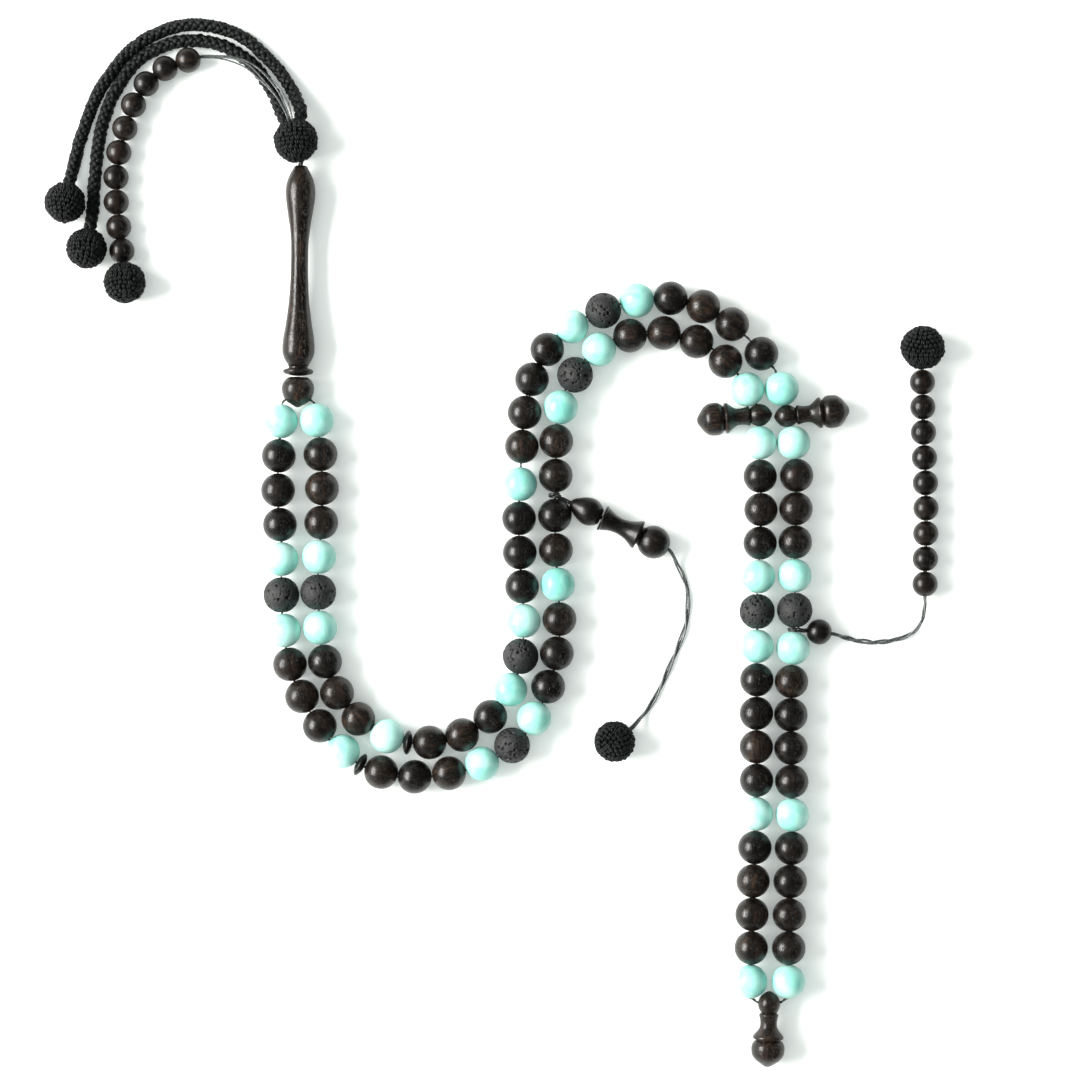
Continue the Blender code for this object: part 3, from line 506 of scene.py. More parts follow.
# Waxed thread with much lighter grey fibre flecks: partly the thread's own grey, partly painted sheen for its
# glints.
WAXED_PAINTED_SHEEN = Look(
    thread("waxed_thread_painted_sheen", (0.002, 0.0025, 0.0025), (0.15, 0.17, 0.165), 0.28, 0.9, 0.00004),
    "waxed_cord",
)


# ---- meshes


def piece(name, points, faces, grain, tone, look, body, nodes, centre):
    """A mesh piece: it rides on its body, stands for its CAD nodes and keeps its own coordinates."""
    points = np.asarray(points, float)
    corners = np.array([face[:3] for face in faces])
    a, b, c = (points[corners[:, k]] - centre for k in range(3))
    if (a * np.cross(b, c)).sum() < 0:
        faces = [face[::-1] for face in faces]
    data = bpy.data.meshes.new(name)
    data.from_pydata(((points - centre) * MM).tolist(), [], faces)
    data.shade_smooth()
    data.set_sharp_from_angle(angle=math.radians(55))
    place = data.attributes.new("grain", "FLOAT_VECTOR", "POINT")
    place.data.foreach_set("vector", np.asarray(grain, np.float32).ravel())
    tones = data.attributes.new("tone", "FLOAT", "POINT")
    tones.data.foreach_set("value", np.broadcast_to(tone, len(points)).astype(np.float32))
    data.materials.append(look.material)
    obj = bpy.data.objects.new(name, data)
    obj.location = (np.asarray(centre) + LAYOUT_SHIFT) * MM
    bpy.context.scene.collection.objects.link(obj)
    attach(obj, body)
    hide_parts(*nodes)
    return obj


def grid_faces(rows, columns, first=0):
    """Quads between rows of points that close on themselves."""
    k = np.arange(columns)
    near = first + np.arange(rows - 1)[:, None] * columns
    quads = np.stack(
        [near + k, near + (k + 1) % columns, near + columns + (k + 1) % columns, near + columns + k],
        axis=-1,
    )
    return quads.reshape(-1, 4).tolist()


def cross_axes(axis):
    side = unit(np.cross(axis, [0.0, 0.0, 1.0]))
    return side, np.cross(side, axis)


def refine(outline, spacing):
    """The outline with more points on its long curved stretches."""
    outline = np.array(outline, float)
    length = np.linalg.norm(np.diff(outline, axis=0), axis=1)
    curve = smooth(outline, 8).reshape(-1, 2)
    kept = []
    for k, span in enumerate(length):
        count = max(1, min(8, round(span / spacing)))
        sharp = span < 0.6
        for j in range(count):
            at_k = outline[k] + (outline[k + 1] - outline[k]) * j / count
            kept.append(at_k if sharp else curve[k * 8 + j * 8 // count])
    kept.append(outline[-1])
    kept = np.array(kept)
    kept[:, 1] = np.maximum(kept[:, 1], 0.0)
    return kept


def turned_points(base, axis, profile, sides):
    """Rings of points for (distance along the axis, radius) pairs, with their own coordinates."""
    side, up = cross_axes(axis)
    turn = np.arange(sides) * 2 * math.pi / sides
    reach = profile[:, 1][:, None]
    across, above = reach * np.cos(turn), reach * np.sin(turn)
    forward = np.broadcast_to(profile[:, 0][:, None], across.shape)
    own = np.stack([across, above, forward], axis=-1).reshape(-1, 3)
    points = base + own[:, :1] * side + own[:, 1:2] * up + own[:, 2:] * axis
    return points, own


def uneven(own, size, stretch, seed):
    """Smooth noise at the piece's own coordinates, stretched along its axis."""
    scaled = own / np.array([size, size, size * stretch]) + seed
    return np.array([noise.noise(Vector(place)) for place in scaled])


def turned(
    name, base, axis, outline, look, body, nodes, tone, centre=None, sides=48, spacing=0.5, closed=False,
    rough=0.02,
):
    """A piece turned on a lathe. A closed outline runs back through the bore."""
    profile = refine(outline, spacing)
    if closed:
        profile = np.vstack([profile, profile[:1]])
    points, own = turned_points(base, axis, profile[:-1] if closed else profile, sides)
    rows = len(profile) - 1 if closed else len(profile)
    faces = grid_faces(rows, sides)
    if closed:
        last, k = (rows - 1) * sides, np.arange(sides)
        faces += np.stack([last + k, last + (k + 1) % sides, (k + 1) % sides, k], axis=-1).tolist()
    shift = RNG.uniform(-40.0, 40.0, 3)
    out = points - (base + own[:, 2:] * axis)
    reach = np.linalg.norm(out, axis=1)[:, None]
    swell = (rough * uneven(own, 1.3, 4.0, shift))[:, None]
    points = points + out / np.maximum(reach, 0.01) * swell * (reach > SMOOTH_REACH)
    if not closed:
        points, own, faces = close_ends(points, own, faces, rows, sides)
    centre = base if centre is None else centre
    return piece(name, points, faces, own + shift, tone, look, body, nodes, centre)


def close_ends(points, own, faces, rows, sides):
    """Draws the first and last ring, which have no radius, together into one point each."""
    inner = points[sides:-sides]
    ends = np.array([points[0], points[-1]])
    own_ends = np.array([own[0], own[-1]])
    count = len(inner)
    k = np.arange(sides)
    body = grid_faces(rows - 2, sides)
    top = np.stack([np.full(sides, count), (k + 1) % sides, k], axis=-1).tolist()
    last = (rows - 3) * sides
    bottom = np.stack([np.full(sides, count + 1), last + k, last + (k + 1) % sides], axis=-1).tolist()
    return np.vstack([inner, ends]), np.vstack([own[sides:-sides], own_ends]), body + top + bottom


def bead_outline(radius, bore, mouth, steps=22):
    """A ball with a bore whose mouths are chamfered."""
    start = math.asin(mouth / radius)
    angles = np.linspace(start, math.pi - start, steps)
    arc = [(-radius * math.cos(a), radius * math.sin(a)) for a in angles]
    inside = radius * math.cos(start) - (mouth - bore) * 0.7
    return [(-inside, bore)] + [(-radius * math.cos(start) - 0.0, mouth - 0.04)] + arc + [
        (radius * math.cos(start), mouth - 0.04), (inside, bore),
    ]


def ball_bead(name, bead, look, body, nodes, tone, bore=0.5, mouth=0.8, sides=56, rough=0.02):
    """A round bored bead."""
    outline = np.array(bead_outline(bead.radius * BEAD_SWELL, bore, mouth))
    points, own = turned_points(bead.centre, bead.axis, outline, sides)
    rows = len(outline)
    faces = grid_faces(rows, sides)
    last, k = (rows - 1) * sides, np.arange(sides)
    faces += np.stack([last + k, last + (k + 1) % sides, (k + 1) % sides, k], axis=-1).tolist()
    shift = RNG.uniform(-40.0, 40.0, 3)
    out = points - bead.centre
    reach = np.linalg.norm(out, axis=1)[:, None]
    points = points + out / reach * (rough * uneven(own, 1.6, 2.5, shift))[:, None]
    tilt = RNG.normal(0.0, 0.12, 2)
    grain = own + own[:, 2:] * np.array([tilt[0], tilt[1], 0.0])
    return piece(name, points, faces, grain + shift, tone, look, body, nodes, bead.centre)


def lava_bead(name, bead, nodes, seed):
    """A basalt bead: round, with open pits of many sizes cut into its skin."""
    draw = np.random.default_rng(seed)
    outline = np.array(bead_outline(bead.radius, 0.6, 0.95, steps=96))
    sides = 190
    points, own = turned_points(bead.centre, bead.axis, outline, sides)
    rows = len(outline)
    faces = grid_faces(rows, sides)
    last, k = (rows - 1) * sides, np.arange(sides)
    faces += np.stack([last + k, last + (k + 1) % sides, (k + 1) % sides, k], axis=-1).tolist()
    out = points - bead.centre
    reach = np.linalg.norm(out, axis=1)[:, None]
    towards = out / reach
    skin = (np.arange(len(points)) // sides > 0) & (np.arange(len(points)) // sides < rows - 1)
    pits = draw.normal(size=(430, 3))
    pits /= np.linalg.norm(pits, axis=1)[:, None]
    width = 0.10 + 0.34 * draw.random(430) ** 3
    depth = np.zeros(len(points))
    for centre, wide in zip(pits, width):
        away = np.linalg.norm(towards - centre, axis=1) * bead.radius / wide
        inside = np.clip(1.0 - away**2, 0.0, None)
        depth = np.maximum(depth, wide * 1.15 * np.sqrt(inside))
    shift = draw.uniform(-40.0, 40.0, 3)
    lumps = 0.05 * uneven(own, 0.7, 1.0, shift) + 0.03 * uneven(own, 0.3, 1.0, shift)
    points = points + towards * ((lumps - depth) * skin)[:, None]
    # Painted shade: the deeper a point lies in a pit, the more near-black the lava material mixes in.
    shade = np.clip(depth / 0.22, 0.0, 1.0) * 0.85
    return piece(name, points, faces, own + shift, shade, LAVA, "strung_loop", nodes, bead.centre)


# ---- cords


def carried(path):
    """Two directions across a path that turn with it and don't twist round it."""
    steps = np.diff(path, axis=0)
    along = np.vstack([steps[:1], steps[:-1] + steps[1:], steps[-1:]])
    along /= np.linalg.norm(along, axis=1)[:, None]
    across = np.empty_like(path)
    start = np.cross(along[0], [0.0, 0.0, 1.0])
    if np.linalg.norm(start) < 0.1:
        start = np.cross(along[0], [1.0, 0.0, 0.0])
    across[0] = unit(start)
    for k in range(1, len(path)):
        turned_on = across[k - 1] - along[k] * np.dot(across[k - 1], along[k])
        across[k] = turned_on / np.linalg.norm(turned_on)
    return across, np.cross(across, along)


def facing(path, outward):
    """Two directions across a path, the second of them as near outward as can be."""
    steps = np.diff(path, axis=0)
    along = np.vstack([steps[:1], steps[:-1] + steps[1:], steps[-1:]])
    along /= np.linalg.norm(along, axis=1)[:, None]
    up = outward - along * (outward * along).sum(1)[:, None]
    up /= np.linalg.norm(up, axis=1)[:, None]
    return np.cross(along, up), up


def tube(path, axes, half_width, half_height, sides, twist, first, lobes=0, lobe=0.0):
    """A closed tube's points, own coordinates and faces. Its fibres turn with the twist."""
    across, up = axes
    along = distances(path)
    turn = np.arange(sides) * 2 * math.pi / sides
    swell = 1.0 + lobe * np.cos(lobes * turn[None, :] + lobes * twist * along[:, None])
    wide, high = half_width * swell * np.cos(turn), half_height * swell * np.sin(turn)
    points = path[:, None] + wide[..., None] * across[:, None] + high[..., None] * up[:, None]
    fibre = turn[None, :] + twist * along[:, None]
    radius = (half_width + half_height) / 2
    own = np.stack(
        [radius * np.cos(fibre), radius * np.sin(fibre), np.broadcast_to(along[:, None], fibre.shape)],
        axis=-1,
    )
    rows = len(path)
    faces = grid_faces(rows, sides, first)
    faces.append(list(range(first, first + sides)))
    faces.append(list(range(first + rows * sides - 1, first + (rows - 1) * sides - 1, -1)))
    return points.reshape(-1, 3), own.reshape(-1, 3), faces


def joined(tubes):
    """Several tubes, each a tuple of tube's arguments but its first index, as one set of arrays."""
    points, owns, faces, first = [], [], [], 0
    for k, (path, axes, wide, high, sides, twist, *lobes) in enumerate(tubes):
        some, own, some_faces = tube(path, axes, wide, high, sides, twist, first, *lobes)
        points.append(some)
        owns.append(own + np.array([7.3 * k, 3.1 * k, 11.9 * k]))
        faces += some_faces
        first += len(some)
    return np.vstack(points), np.vstack(owns), faces


def braid(name, route, source, target, body, node):
    """A round braid of eight flat yarn bundles, four each way, over a core."""
    path = cord_line(route, 1.5, 0.17, source, target)
    along = distances(path)
    across, up = carried(path)
    lay, middle, wave = 7.6, 0.98, 0.25
    ends = np.clip(np.minimum(along, along[-1] - along) / 3.5, 0.0, 1.0)
    tubes = [(path[::3], tuple(axis[::3] for axis in (across, up)), 0.72, 0.72, 8, 0.5)]
    for way in (1, -1):
        for k in range(4):
            drift = 0.16 * np.sin(along * 0.37 + 1.9 * k + way)
            angle = 2 * math.pi * (k / 4 + way * along / lay) + drift
            radial = np.cos(angle)[:, None] * across + np.sin(angle)[:, None] * up
            slack = 1.0 + 0.05 * np.sin(along * 0.61 + 2.3 * k - way) + 0.04 * np.sin(along * 1.7 + 1.1 * k)
            radius = (middle + way * wave * np.cos(8 * math.pi * along / lay)) * slack * (0.86 + 0.14 * ends)
            line = path + radial * radius[:, None]
            tubes.append((line, facing(line, radial), 0.60, 0.44, 12, 2.8, 3, 0.13))
    points, own, faces = joined(tubes)
    points[:, 2] = np.maximum(points[:, 2], 0.02)
    return piece(name, points, faces, own, 0.5, COTTON, body, [node], path[0]), path


def bundle(
    name, path, spread, body, nodes, count=3, radius=0.24, pitch=9.0, centre=None, look=WAXED, fan=False
):
    """A string of several waxed threads that lie loosely round each other, or side by side in a fan."""
    along = distances(path)
    across, up = carried(path)
    wide = np.interp(along / along[-1], np.linspace(0.0, 1.0, len(spread)), spread)
    tubes = []
    for k in range(count):
        if fan:
            sideways = 2 * k / (count - 1) - 1 + 0.25 * np.sin(along * 0.24 + 2.1 * k)
            raised = 0.35 * np.cos(along * 0.17 + 1.9 * k)
        else:
            angle = 2 * math.pi * (k / count + along / pitch) + 0.5 * np.sin(along * 0.23 + 2.1 * k)
            sideways, raised = np.cos(angle), 0.8 * np.sin(angle)
        line = path + wide[:, None] * (sideways[:, None] * across + raised[:, None] * up)
        line[:, 2] = np.maximum(line[:, 2], radius)
        tubes.append((line, carried(line), radius, radius, 8, 3.6, 2, 0.12))
    points, own, faces = joined(tubes)
    return piece(name, points, faces, own, 0.5, look, body, nodes, path[0] if centre is None else centre)


def crochet_ball(name, centre, radius, pole, body, nodes, seed):
    """A ball crocheted in a spiral from pole to pole over a core, both legs of every stitch modelled."""
    draw = np.random.default_rng(seed)
    yarn, lift, row, stitch = 0.265, 0.24, 1.06, 1.14
    base = radius - yarn - lift
    pole = unit(pole)
    side, up = cross_axes(pole) if abs(pole[2]) < 0.9 else cross_axes(np.array([1.0, 0.0, 0.0]))
    side = unit(side - pole * np.dot(side, pole))
    up = np.cross(pole, side)

    def outward(angle, around):
        """The direction at an angle from the pole and an angle round it."""
        ring = np.cos(around)[:, None] * side + np.sin(around)[:, None] * up
        return np.cos(angle)[:, None] * pole + np.sin(angle)[:, None] * ring

    t = np.linspace(0.0, 1.0, 7)
    turns = math.pi * base / row
    turn, tubes = 0.35, []
    while turn < turns - 0.3:
        middle = math.pi * turn / turns
        around = max(4.0, 2 * math.pi * base * math.sin(middle) / stitch)
        size = 1.0 + 0.09 * draw.normal()
        slant = 0.3 + 0.22 * draw.normal()
        height = 0.07 * draw.normal()
        shift = 0.07 * draw.normal(size=2)
        for leg in (-1, 1):
            sideways = leg * stitch * (0.09 + 0.19 * t) * size + shift[0]
            forward = row * (-0.5 + 1.0 * t) * size + shift[1]
            arch = np.sin(math.pi * (0.03 + 0.94 * t)) ** 0.7
            raised = base + height - STITCH_SINK + (lift + STITCH_SINK) * arch
            across = sideways * math.cos(slant) + forward * math.sin(slant)
            down = forward * math.cos(slant) - sideways * math.sin(slant)
            angle = np.clip(middle + down / base, 0.03, math.pi - 0.03)
            spin = turn * 2 * math.pi + across / (base * max(math.sin(middle), 0.2))
            out = outward(angle, spin)
            line = centre + out * raised[:, None]
            tubes.append((line, facing(line, out), yarn * size, yarn, 8, 3.0, 3, 0.1))
        turn += 1.0 / around
    points, own, faces = joined(tubes)
    core_turn = np.linspace(0.04, math.pi - 0.04, CORE_ROWS)
    spin = np.arange(CORE_SIDES) * 2 * math.pi / CORE_SIDES
    reach = base - 0.42
    rings = np.vstack([centre + reach * outward(np.full(CORE_SIDES, a), spin) for a in core_turn])
    first = len(points)
    last = first + (CORE_ROWS - 1) * CORE_SIDES
    faces += grid_faces(CORE_ROWS, CORE_SIDES, first)
    faces.append(list(range(first, first + CORE_SIDES)))
    faces.append(list(range(last + CORE_SIDES - 1, last - 1, -1)))
    points = np.vstack([points, rings])
    own = np.vstack([own, rings])
    bumps = uneven(points - centre, 2.6, 1.0, draw.uniform(-9, 9, 3))
    points = centre + (points - centre) * (1.0 + BALL_UNEVENNESS * bumps)[:, None]
    return piece(name, points, faces, own, 0.5, COTTON, body, nodes, centre)


# ---- camera, light and floor


def set_the_stage():
    scene = bpy.context.scene
    view_centre = Vector((-3.67, 12.6, 4.0)) * MM
    distance, lens, sensor = 0.72, 100.0, 36.0
    camera = bpy.data.objects.new("camera", bpy.data.cameras.new("camera"))
    camera.data.lens = lens
    camera.data.sensor_width = sensor
    camera.location = view_centre + Vector((0.0, 0.0, distance))
    scene.collection.objects.link(camera)
    scene.camera = camera
    scene.view_settings.view_transform = "Standard"

    window = bpy.data.lights.new("window", "AREA")
    window.shape = "RECTANGLE"
    window.size, window.size_y = 0.56, 0.95
    window.energy = 38.0
    window.color = (1.0, 0.985, 0.965)
    light = bpy.data.objects.new("window", window)
    towards = Vector((-0.80, 0.09, 0.59)).normalized()
    light.location = view_centre + towards * 1.3
    light.rotation_euler = (-towards).to_track_quat("-Z", "X").to_euler()
    light.visible_camera = False
    scene.collection.objects.link(light)

    ceiling = bpy.data.lights.new("ceiling", "AREA")
    ceiling.shape = "SQUARE"
    ceiling.size = 1.8
    ceiling.energy = 13.5
    ceiling.color = (0.94, 1.0, 0.97)
    fill = bpy.data.objects.new("ceiling", ceiling)
    fill.location = view_centre + Vector((0.0, 0.0, 1.2))
    fill.visible_camera = False
    fill.visible_glossy = False
    scene.collection.objects.link(fill)

    world = bpy.data.worlds.new("studio")
    scene.world = world
    world.use_nodes = True
    tree = world.node_tree
    place = add(tree, "TexCoord").outputs["Generated"]
    split = add(tree, "SeparateXYZ", {0: place})
    leaning = maths(tree, "MULTIPLY", split.outputs["X"], 0.5)
    height = maths(tree, "ADD", split.outputs["Z"], leaning)
    sky = ramp(
        tree, height,
        (
            (0.0, (1.05, 1.03, 1.0)), (0.14, (0.70, 0.70, 0.68)), (0.34, (0.26, 0.26, 0.255)),
            (0.6, (0.10, 0.10, 0.10)), (1.0, (0.06, 0.06, 0.06)),
        ),
    )
    background = tree.nodes["Background"]
    tree.links.new(sky, background.inputs["Color"])
    background.inputs["Strength"].default_value = 1.0

    side = 3.0
    data = bpy.data.meshes.new("floor")
    data.from_pydata(
        [(-side, -side, 0.0), (side, -side, 0.0), (side, side, 0.0), (-side, side, 0.0)], [], [(0, 1, 2, 3)]
    )
    floor = bpy.data.objects.new("floor", data)
    material = start_material(
        "paper", Roughness=0.9, Base_Color=(0.86, 0.875, 0.868, 1.0),
        Emission_Color=(0.94, 1.0, 0.97, 1.0), Emission_Strength=0.2,
    )[0]
    data.materials.append(material)
    scene.collection.objects.link(floor)


# ---- the object


RNG = np.random.default_rng(SEED)


def threaded_beads(beads, words, body, first_body, run, first_node):
    """The counting beads on a cord, the first of which slides."""
    made = []
    for bead in beads:
        first = bead.number == 1
        made.append(
            ball_bead(
                f"{words}_{bead.number:02d}", bead, SATIN, first_body if first else body,
                [first_node if first else run], RNG.uniform(0.2, 1.0),
                bore=0.55, mouth=0.85, sides=48, rough=BEAD_ROUGHNESS,
            )
        )
    return made


def end_ball(name, ball, path, body, node, seed):
    """The crocheted ball at a free cord's end."""
    centre = spatial(*ball)
    made = crochet_ball(name, centre, ball[1], path[-1] - centre, body, [node], seed)
    return made


def make_free_cords(left):
    """The tassel's two braids and its string, the marker's cord and the counter's, with what is on them."""
    head = spatial(*HEAD_BALL)
    for name, route, ball, seed in (
        ("outer", OUTER_BRAID_ROUTE, OUTER_BALL, 27),
        ("inner", INNER_BRAID_ROUTE, INNER_BALL, 26),
    ):
        obj, path = braid(
            f"tassel_{name}_braid_weave", route, (head, 2.0), (spatial(*ball), 2.0), f"{name}_braid",
            f"tassel_{name}_braid",
        )
        end = end_ball(
            f"tassel_{name}_ball_crochet", ball, path, f"{name}_braid", f"tassel_{name}_ball", seed
        )

    beads, gaps = strung(TASSEL_STRING_ROUTE, TASSEL_FIRST_BEAD, TASSEL_BEADS, TASSEL_PITCH)
    ball = spatial(*STRING_BALL)
    path = cord_line(TASSEL_STRING_ROUTE, STRING_LOWEST, CORD_SPACING, (head, 2.0), (ball, 1.8), gaps)
    obj = bundle(
        "tassel_string_threads", path, TASSEL_STRING_SPREAD, "tassel_string", ["tassel_string"],
        count=4, radius=0.2, look=WAXED_PAINTED_SHEEN, fan=True,
    )
    on_it = threaded_beads(
        beads, "tassel_counting_bead", "tassel_string", "tassel_bead", "tassel_bead_run",
        "tassel_sliding_bead",
    )
    end = end_ball("tassel_string_ball_crochet", STRING_BALL, path, "tassel_string", "tassel_string_ball", 31)

    source = marker_round(left).centre
    path = cord_line(
        MARKER_CORD_ROUTE, MARKER_CORD_LOWEST, CORD_SPACING, (source, 0.8), (spatial(*MARKER_BALL), 2.1)
    )
    obj = bundle(
        "marker_cord_threads", path, MARKER_CORD_SPREAD, "marker_tail", ["marker_cord"],
        count=3, radius=0.24, pitch=24.0, look=WAXED_PAINTED_SHEEN,
    )
    end = end_ball("marker_ball_crochet", MARKER_BALL, path, "marker_tail", "marker_ball", 32)

    beads, gaps = strung(COUNTER_CORD_ROUTE, COUNTER_FIRST_BEAD, COUNTER_BEADS, COUNTER_PITCH)
    stop = spatial(STOP_BEAD, COUNTER_DIAMETER / 2)
    ball = spatial(*COUNTER_BALL)
    path = cord_line(COUNTER_CORD_ROUTE, STRING_LOWEST, CORD_SPACING, (stop, 0.7), (ball, 1.6), gaps)
    obj = bundle(
        "counter_cord_threads", path, COUNTER_CORD_SPREAD, "counter_tail",
        ["counter_cord"], count=3, radius=0.24, pitch=11.0, look=WAXED_PAINTED_SHEEN,
    )
    on_it = threaded_beads(
        beads, "counter_bead", "counter_tail", "counter_bead", "counter_bead_run", "counter_sliding_bead"
    )
    end = end_ball("counter_ball_crochet", COUNTER_BALL, path, "counter_tail", "counter_ball", 33)

    top = crochet_ball(
        "tassel_head_ball_crochet", head, HEAD_BALL[1], (0.06, -1.0, 0.1), "tassel_head",
        ["tassel_head_ball"], 30,
    )


def run_node(side, beads, runs, number):
    """The CAD node that holds this bead."""
    first, last = next(span for span in runs if span[0] <= number <= span[1])
    kinds = {bead.kind for bead in beads if first <= bead.number <= last}
    words = [word for kind, word in (("W", "ebony"), ("A", "amazonite"), ("V", "lava")) if kind in kinds]
    span = f"bead_{first:02d}" if first == last else f"beads_{first:02d}_{last:02d}"
    return f"{side}_{span}_{'_'.join(words)}"


def make_strand(side, laid, runs):
    """The fifty beads and the divider disc of one strand."""
    for bead in laid.beads:
        node = run_node(side, laid.beads, runs, bead.number)
        if bead.kind == "V":
            seed = bead.number + LAVA_SEED[side]
            lava_bead(f"{side}_lava_{bead.number:02d}", bead, [node], seed)
        elif bead.kind == "A":
            ball_bead(
                f"{side}_amazonite_{bead.number:02d}", bead, AMAZONITE, "strung_loop", [node],
                RNG.uniform(0.0, 1.0), rough=BEAD_ROUGHNESS,
            )
        else:
            ball_bead(
                f"{side}_ebony_{bead.number:02d}", bead, EBONY, "strung_loop", [node],
                RNG.uniform(0.0, 1.0), rough=0.03,
            )
    disc = laid.discs[0]
    half, rim = DISC_THICKNESS / 2, DISC_DIAMETER / 2
    outline = (
        (-half, 0.6), (-half, 1.05), (-half * 0.96, 1.3), (-half * 0.74, 2.05), (-half * 0.4, rim - 0.28),
        (-half * 0.17, rim - 0.07), (0.0, rim), (half * 0.17, rim - 0.07), (half * 0.4, rim - 0.28),
        (half * 0.74, 2.05), (half * 0.96, 1.3), (half, 1.05), (half, 0.6),
    )
    turned(
        f"{side}_divider_disc_horn", disc.centre, disc.axis, outline, SATIN, f"{side}_disc",
        [f"{side}_divider_disc"], 0.1, closed=True, spacing=0.3, rough=0.0,
    )


def make_imam():
    """The imam: its junction bead, its ring, its shaft and the doubled cord that runs through them."""
    centre = spatial(JUNCTION, AXIS_HEIGHT)
    axis = spatial(unit(IMAM_DIRECTION), 0.0)
    turned(
        "imam_junction_bead_turned", centre, axis, JUNCTION_OUTLINE, EBONY, "strung_loop",
        ["imam_junction_bead"], 0.95, sides=64, spacing=0.3,
    )
    turned(
        "imam_ring_turned", centre + axis * RING_START, axis, RING_OUTLINE, EBONY, "imam", ["imam_ring"],
        0.75, sides=64, spacing=0.2, closed=True,
    )
    turned(
        "imam_shaft_turned", centre + axis * SHAFT_START, axis, SHAFT_OUTLINE, EBONY, "imam",
        ["imam_shaft"], 0.9, sides=72, spacing=0.5, closed=True, rough=0.05,
    )
    start, end = IMAM_CORD_SPAN
    path = np.array([centre + axis * t for t in np.linspace(start, end + 2.0, 160)])
    bundle("imam_cord_threads", path, (0.42, 0.42), "imam", ["imam_cord"], count=5, radius=0.26, pitch=8.0)


def make_finial(name, head, direction, tone, body, length=1.0):
    centre = spatial(head, AXIS_HEIGHT)
    axis = spatial(unit(direction), 0.0)
    outline = [(t * length if t > 0 else t, radius) for t, radius in FINIAL_OUTLINE]
    return turned(
        name + "_turned", centre, axis, outline, EBONY, body, [name], tone, sides=72, spacing=0.25,
        rough=0.035,
    )


def junction_path(way):
    """The cord's way from the top of the junction bead's hollow out of a slanted hole."""
    steps = ((0.48, 2.2), (0.48, 0.8), (0.9, -1.0), (2.6, -2.6), (3.6, -3.35))
    return [spatial(JUNCTION, AXIS_HEIGHT) + np.array([way * x, y, 0.0]) for x, y in steps]


def make_stringing_cord(left, right):
    """The one cord, out of the imam, down the left strand, through the end finial and back up."""
    head = spatial(END_FINIAL[0], AXIS_HEIGHT)
    turn = ((-3.95, 1.0), (-3.1, 0.3), (-2.4, 0.0), (0.0, 0.0), (2.4, 0.0), (3.1, 0.3), (3.95, 1.0))
    bottom = [head + np.array([x, y, 0.0]) for x, y in turn]
    path = np.array(junction_path(-1) + left.gaps + bottom + right.gaps[::-1] + junction_path(1)[::-1])
    along = distances(path)
    path = at(path, along, np.linspace(0.0, along[-1], round(along[-1] / 0.4)))
    tubes = []
    across, up = carried(path)
    along = distances(path)
    for k in range(2):
        angle = 2 * math.pi * (k / 2 + along / 2.6)
        line = path + 0.15 * (np.cos(angle)[:, None] * across + np.sin(angle)[:, None] * up)
        tubes.append((line, carried(line), 0.18, 0.18, 7, 3.0, 2, 0.08))
    points, own, faces = joined(tubes)
    piece("stringing_cord_twist", points, faces, own, 0.5, WAXED, "strung_loop", ["stringing_cord"], path[0])


def hook_path(centre, strand_axis, direction, reach, radius=1.15):
    """A stem along direction that ends in an open loop round the strand's cord."""
    side = unit(np.cross(strand_axis, [0.0, 0.0, 1.0]))
    if np.dot(side, direction) < 0:
        side = -side
    up = np.array([0.0, 0.0, 1.0])
    loop = [
        centre + radius * (math.cos(t) * side + math.sin(t) * up)
        for t in np.radians((35, 75, 115, 155, 195, 235, 275, 315))
    ]
    return [centre + direction * reach, centre + direction * 2.6] + loop


def marker_place(left):
    """The middle of the gap the marker pendant hangs from and the strand's direction there."""
    before, after = (b for b in left.beads if b.number in (MARKER_BEAD, MARKER_BEAD + 1))
    centre = (before.centre + after.centre) / 2
    centre[2] = AXIS_HEIGHT
    return centre, unit(after.centre - before.centre)


def marker_round(left):
    """The round bead at the end of the marker pendant's stem."""
    middle, radius = MARKER_ROUND
    axis = polar(MARKER_ANGLE)
    return Bead(0, "S", marker_place(left)[0] + axis * middle, axis, radius)


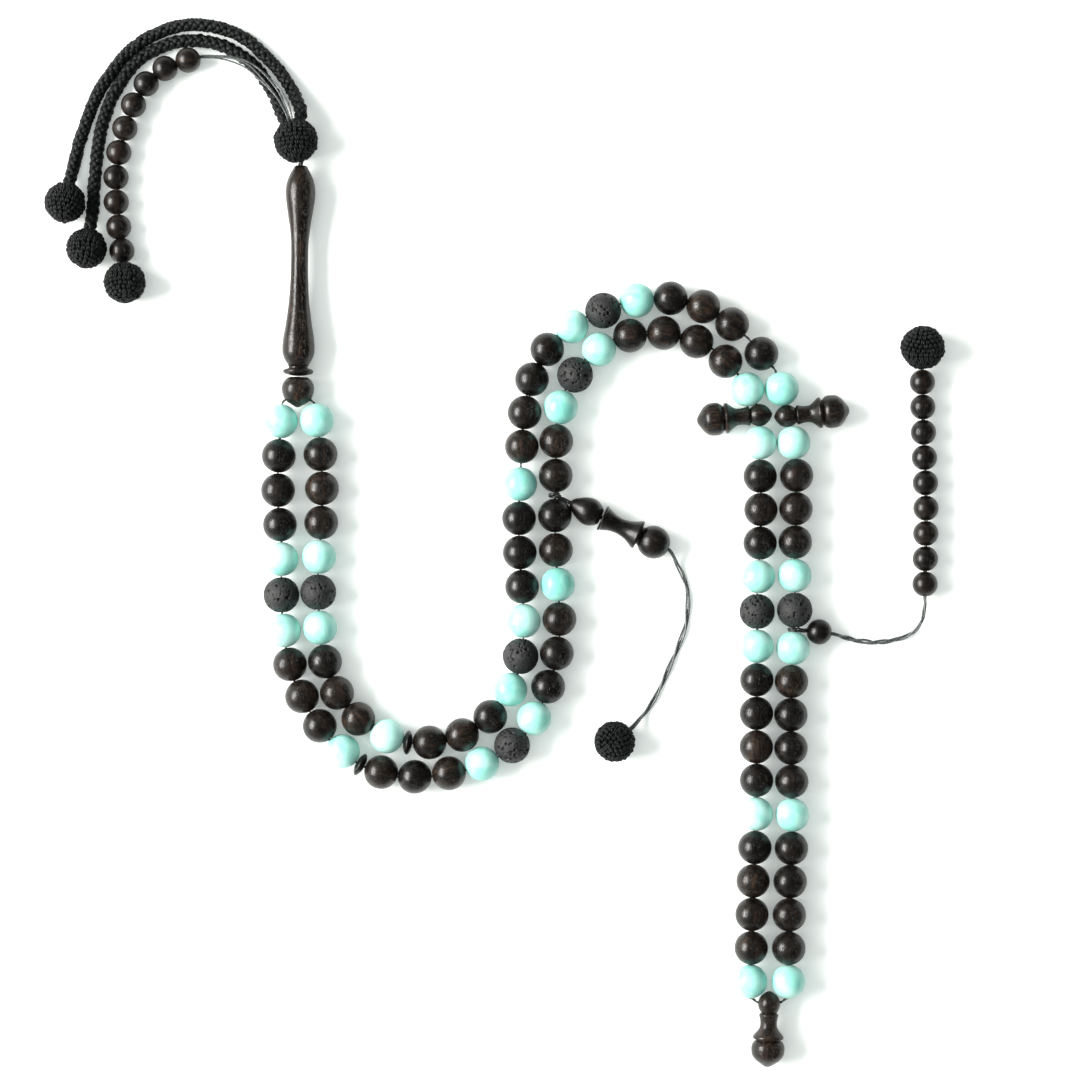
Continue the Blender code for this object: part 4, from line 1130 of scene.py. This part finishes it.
def make_marker(left):
    """The marker pendant tied between two beads of the left strand."""
    centre, strand_axis = marker_place(left)
    axis = polar(MARKER_ANGLE)
    line = smooth(hook_path(centre, strand_axis, axis, STEM_START), 40)
    path = at(line, distances(line), np.linspace(0.0, distances(line)[-1], 200))
    bundle(
        "marker_loop_threads", path, MARKER_LOOP_SPREAD, "marker", ["marker_loop"],
        count=6, radius=0.2, pitch=8.0,
    )
    turned(
        "marker_drop_bead_turned", centre + axis * DROP_START, axis, DROP_OUTLINE, SATIN, "marker",
        ["marker_drop_bead"], 0.3, sides=56, spacing=0.3, closed=True, rough=BEAD_ROUGHNESS,
    )
    turned(
        "marker_spool_turned", centre + axis * SPOOL_START, axis, SPOOL_OUTLINE, SATIN, "marker_spool",
        ["marker_spool"], 0.3, sides=64, spacing=0.3, closed=True, rough=BEAD_ROUGHNESS,
    )
    turned(
        "marker_collar_turned", centre, axis, MARKER_COLLAR_OUTLINE, SATIN, "marker",
        ["marker_round_bead"], 0.1, sides=56, spacing=0.3, closed=True, rough=0.0,
    )
    ball_bead(
        "marker_round_bead_turned", marker_round(left), SATIN, "marker", ["marker_round_bead"], 0.3,
        rough=BEAD_ROUGHNESS,
    )


def make_counter_tie(right):
    """The stop bead of the counter pendant and the loop that ties it to the right strand."""
    before, after = (b for b in right.beads if b.number in (COUNTER_BEAD, COUNTER_BEAD + 1))
    joined_axis = unit(after.centre - before.centre)
    gap = np.linalg.norm(after.centre - before.centre) - before.radius - after.radius
    centre = before.centre + joined_axis * (before.radius + gap / 2)
    centre[2] = AXIS_HEIGHT
    stop = spatial(STOP_BEAD, COUNTER_DIAMETER / 2)
    level = unit(spatial((stop - centre)[:2], 0.0))
    loop = hook_path(centre, joined_axis, level, 5.0)
    loop[0] = stop + level * 2.2
    loop.insert(1, stop - level * 3.0)
    line = smooth(loop, 40)
    path = at(line, distances(line), np.linspace(0.0, distances(line)[-1], 110))
    bundle(
        "counter_loop_threads", path, (0.28, 0.28, 0.34, 0.4, 0.3, 0.22), "strung_loop", ["counter_loop"],
        count=4, radius=0.2, pitch=7.0,
    )
    ball_bead(
        "counter_stop_bead_turned", Bead(0, "S", stop, level, COUNTER_DIAMETER / 2), SATIN, "strung_loop",
        ["counter_stop_bead"], 0.4, bore=0.55, mouth=0.85, sides=48, rough=BEAD_ROUGHNESS,
    )


set_the_stage()
LEFT = strand(LEFT_ROUTE, LEFT_HEAD_POINT, LEFT_SLACK)
RIGHT = strand(RIGHT_ROUTE, RIGHT_HEAD_POINT, RIGHT_SLACK)
make_free_cords(LEFT)
make_strand("left", LEFT, LEFT_RUNS)
make_strand("right", RIGHT, RIGHT_RUNS)
make_imam()
make_finial("left_cross_finial", *LEFT_FINIAL, 0.85, "left_finial")
make_finial("right_cross_finial", *RIGHT_FINIAL, 0.75, "right_finial")
make_finial("end_finial", *END_FINIAL, 1.1, "end_finial", 1.005)
make_stringing_cord(LEFT, RIGHT)
make_marker(LEFT)
make_counter_tie(RIGHT)
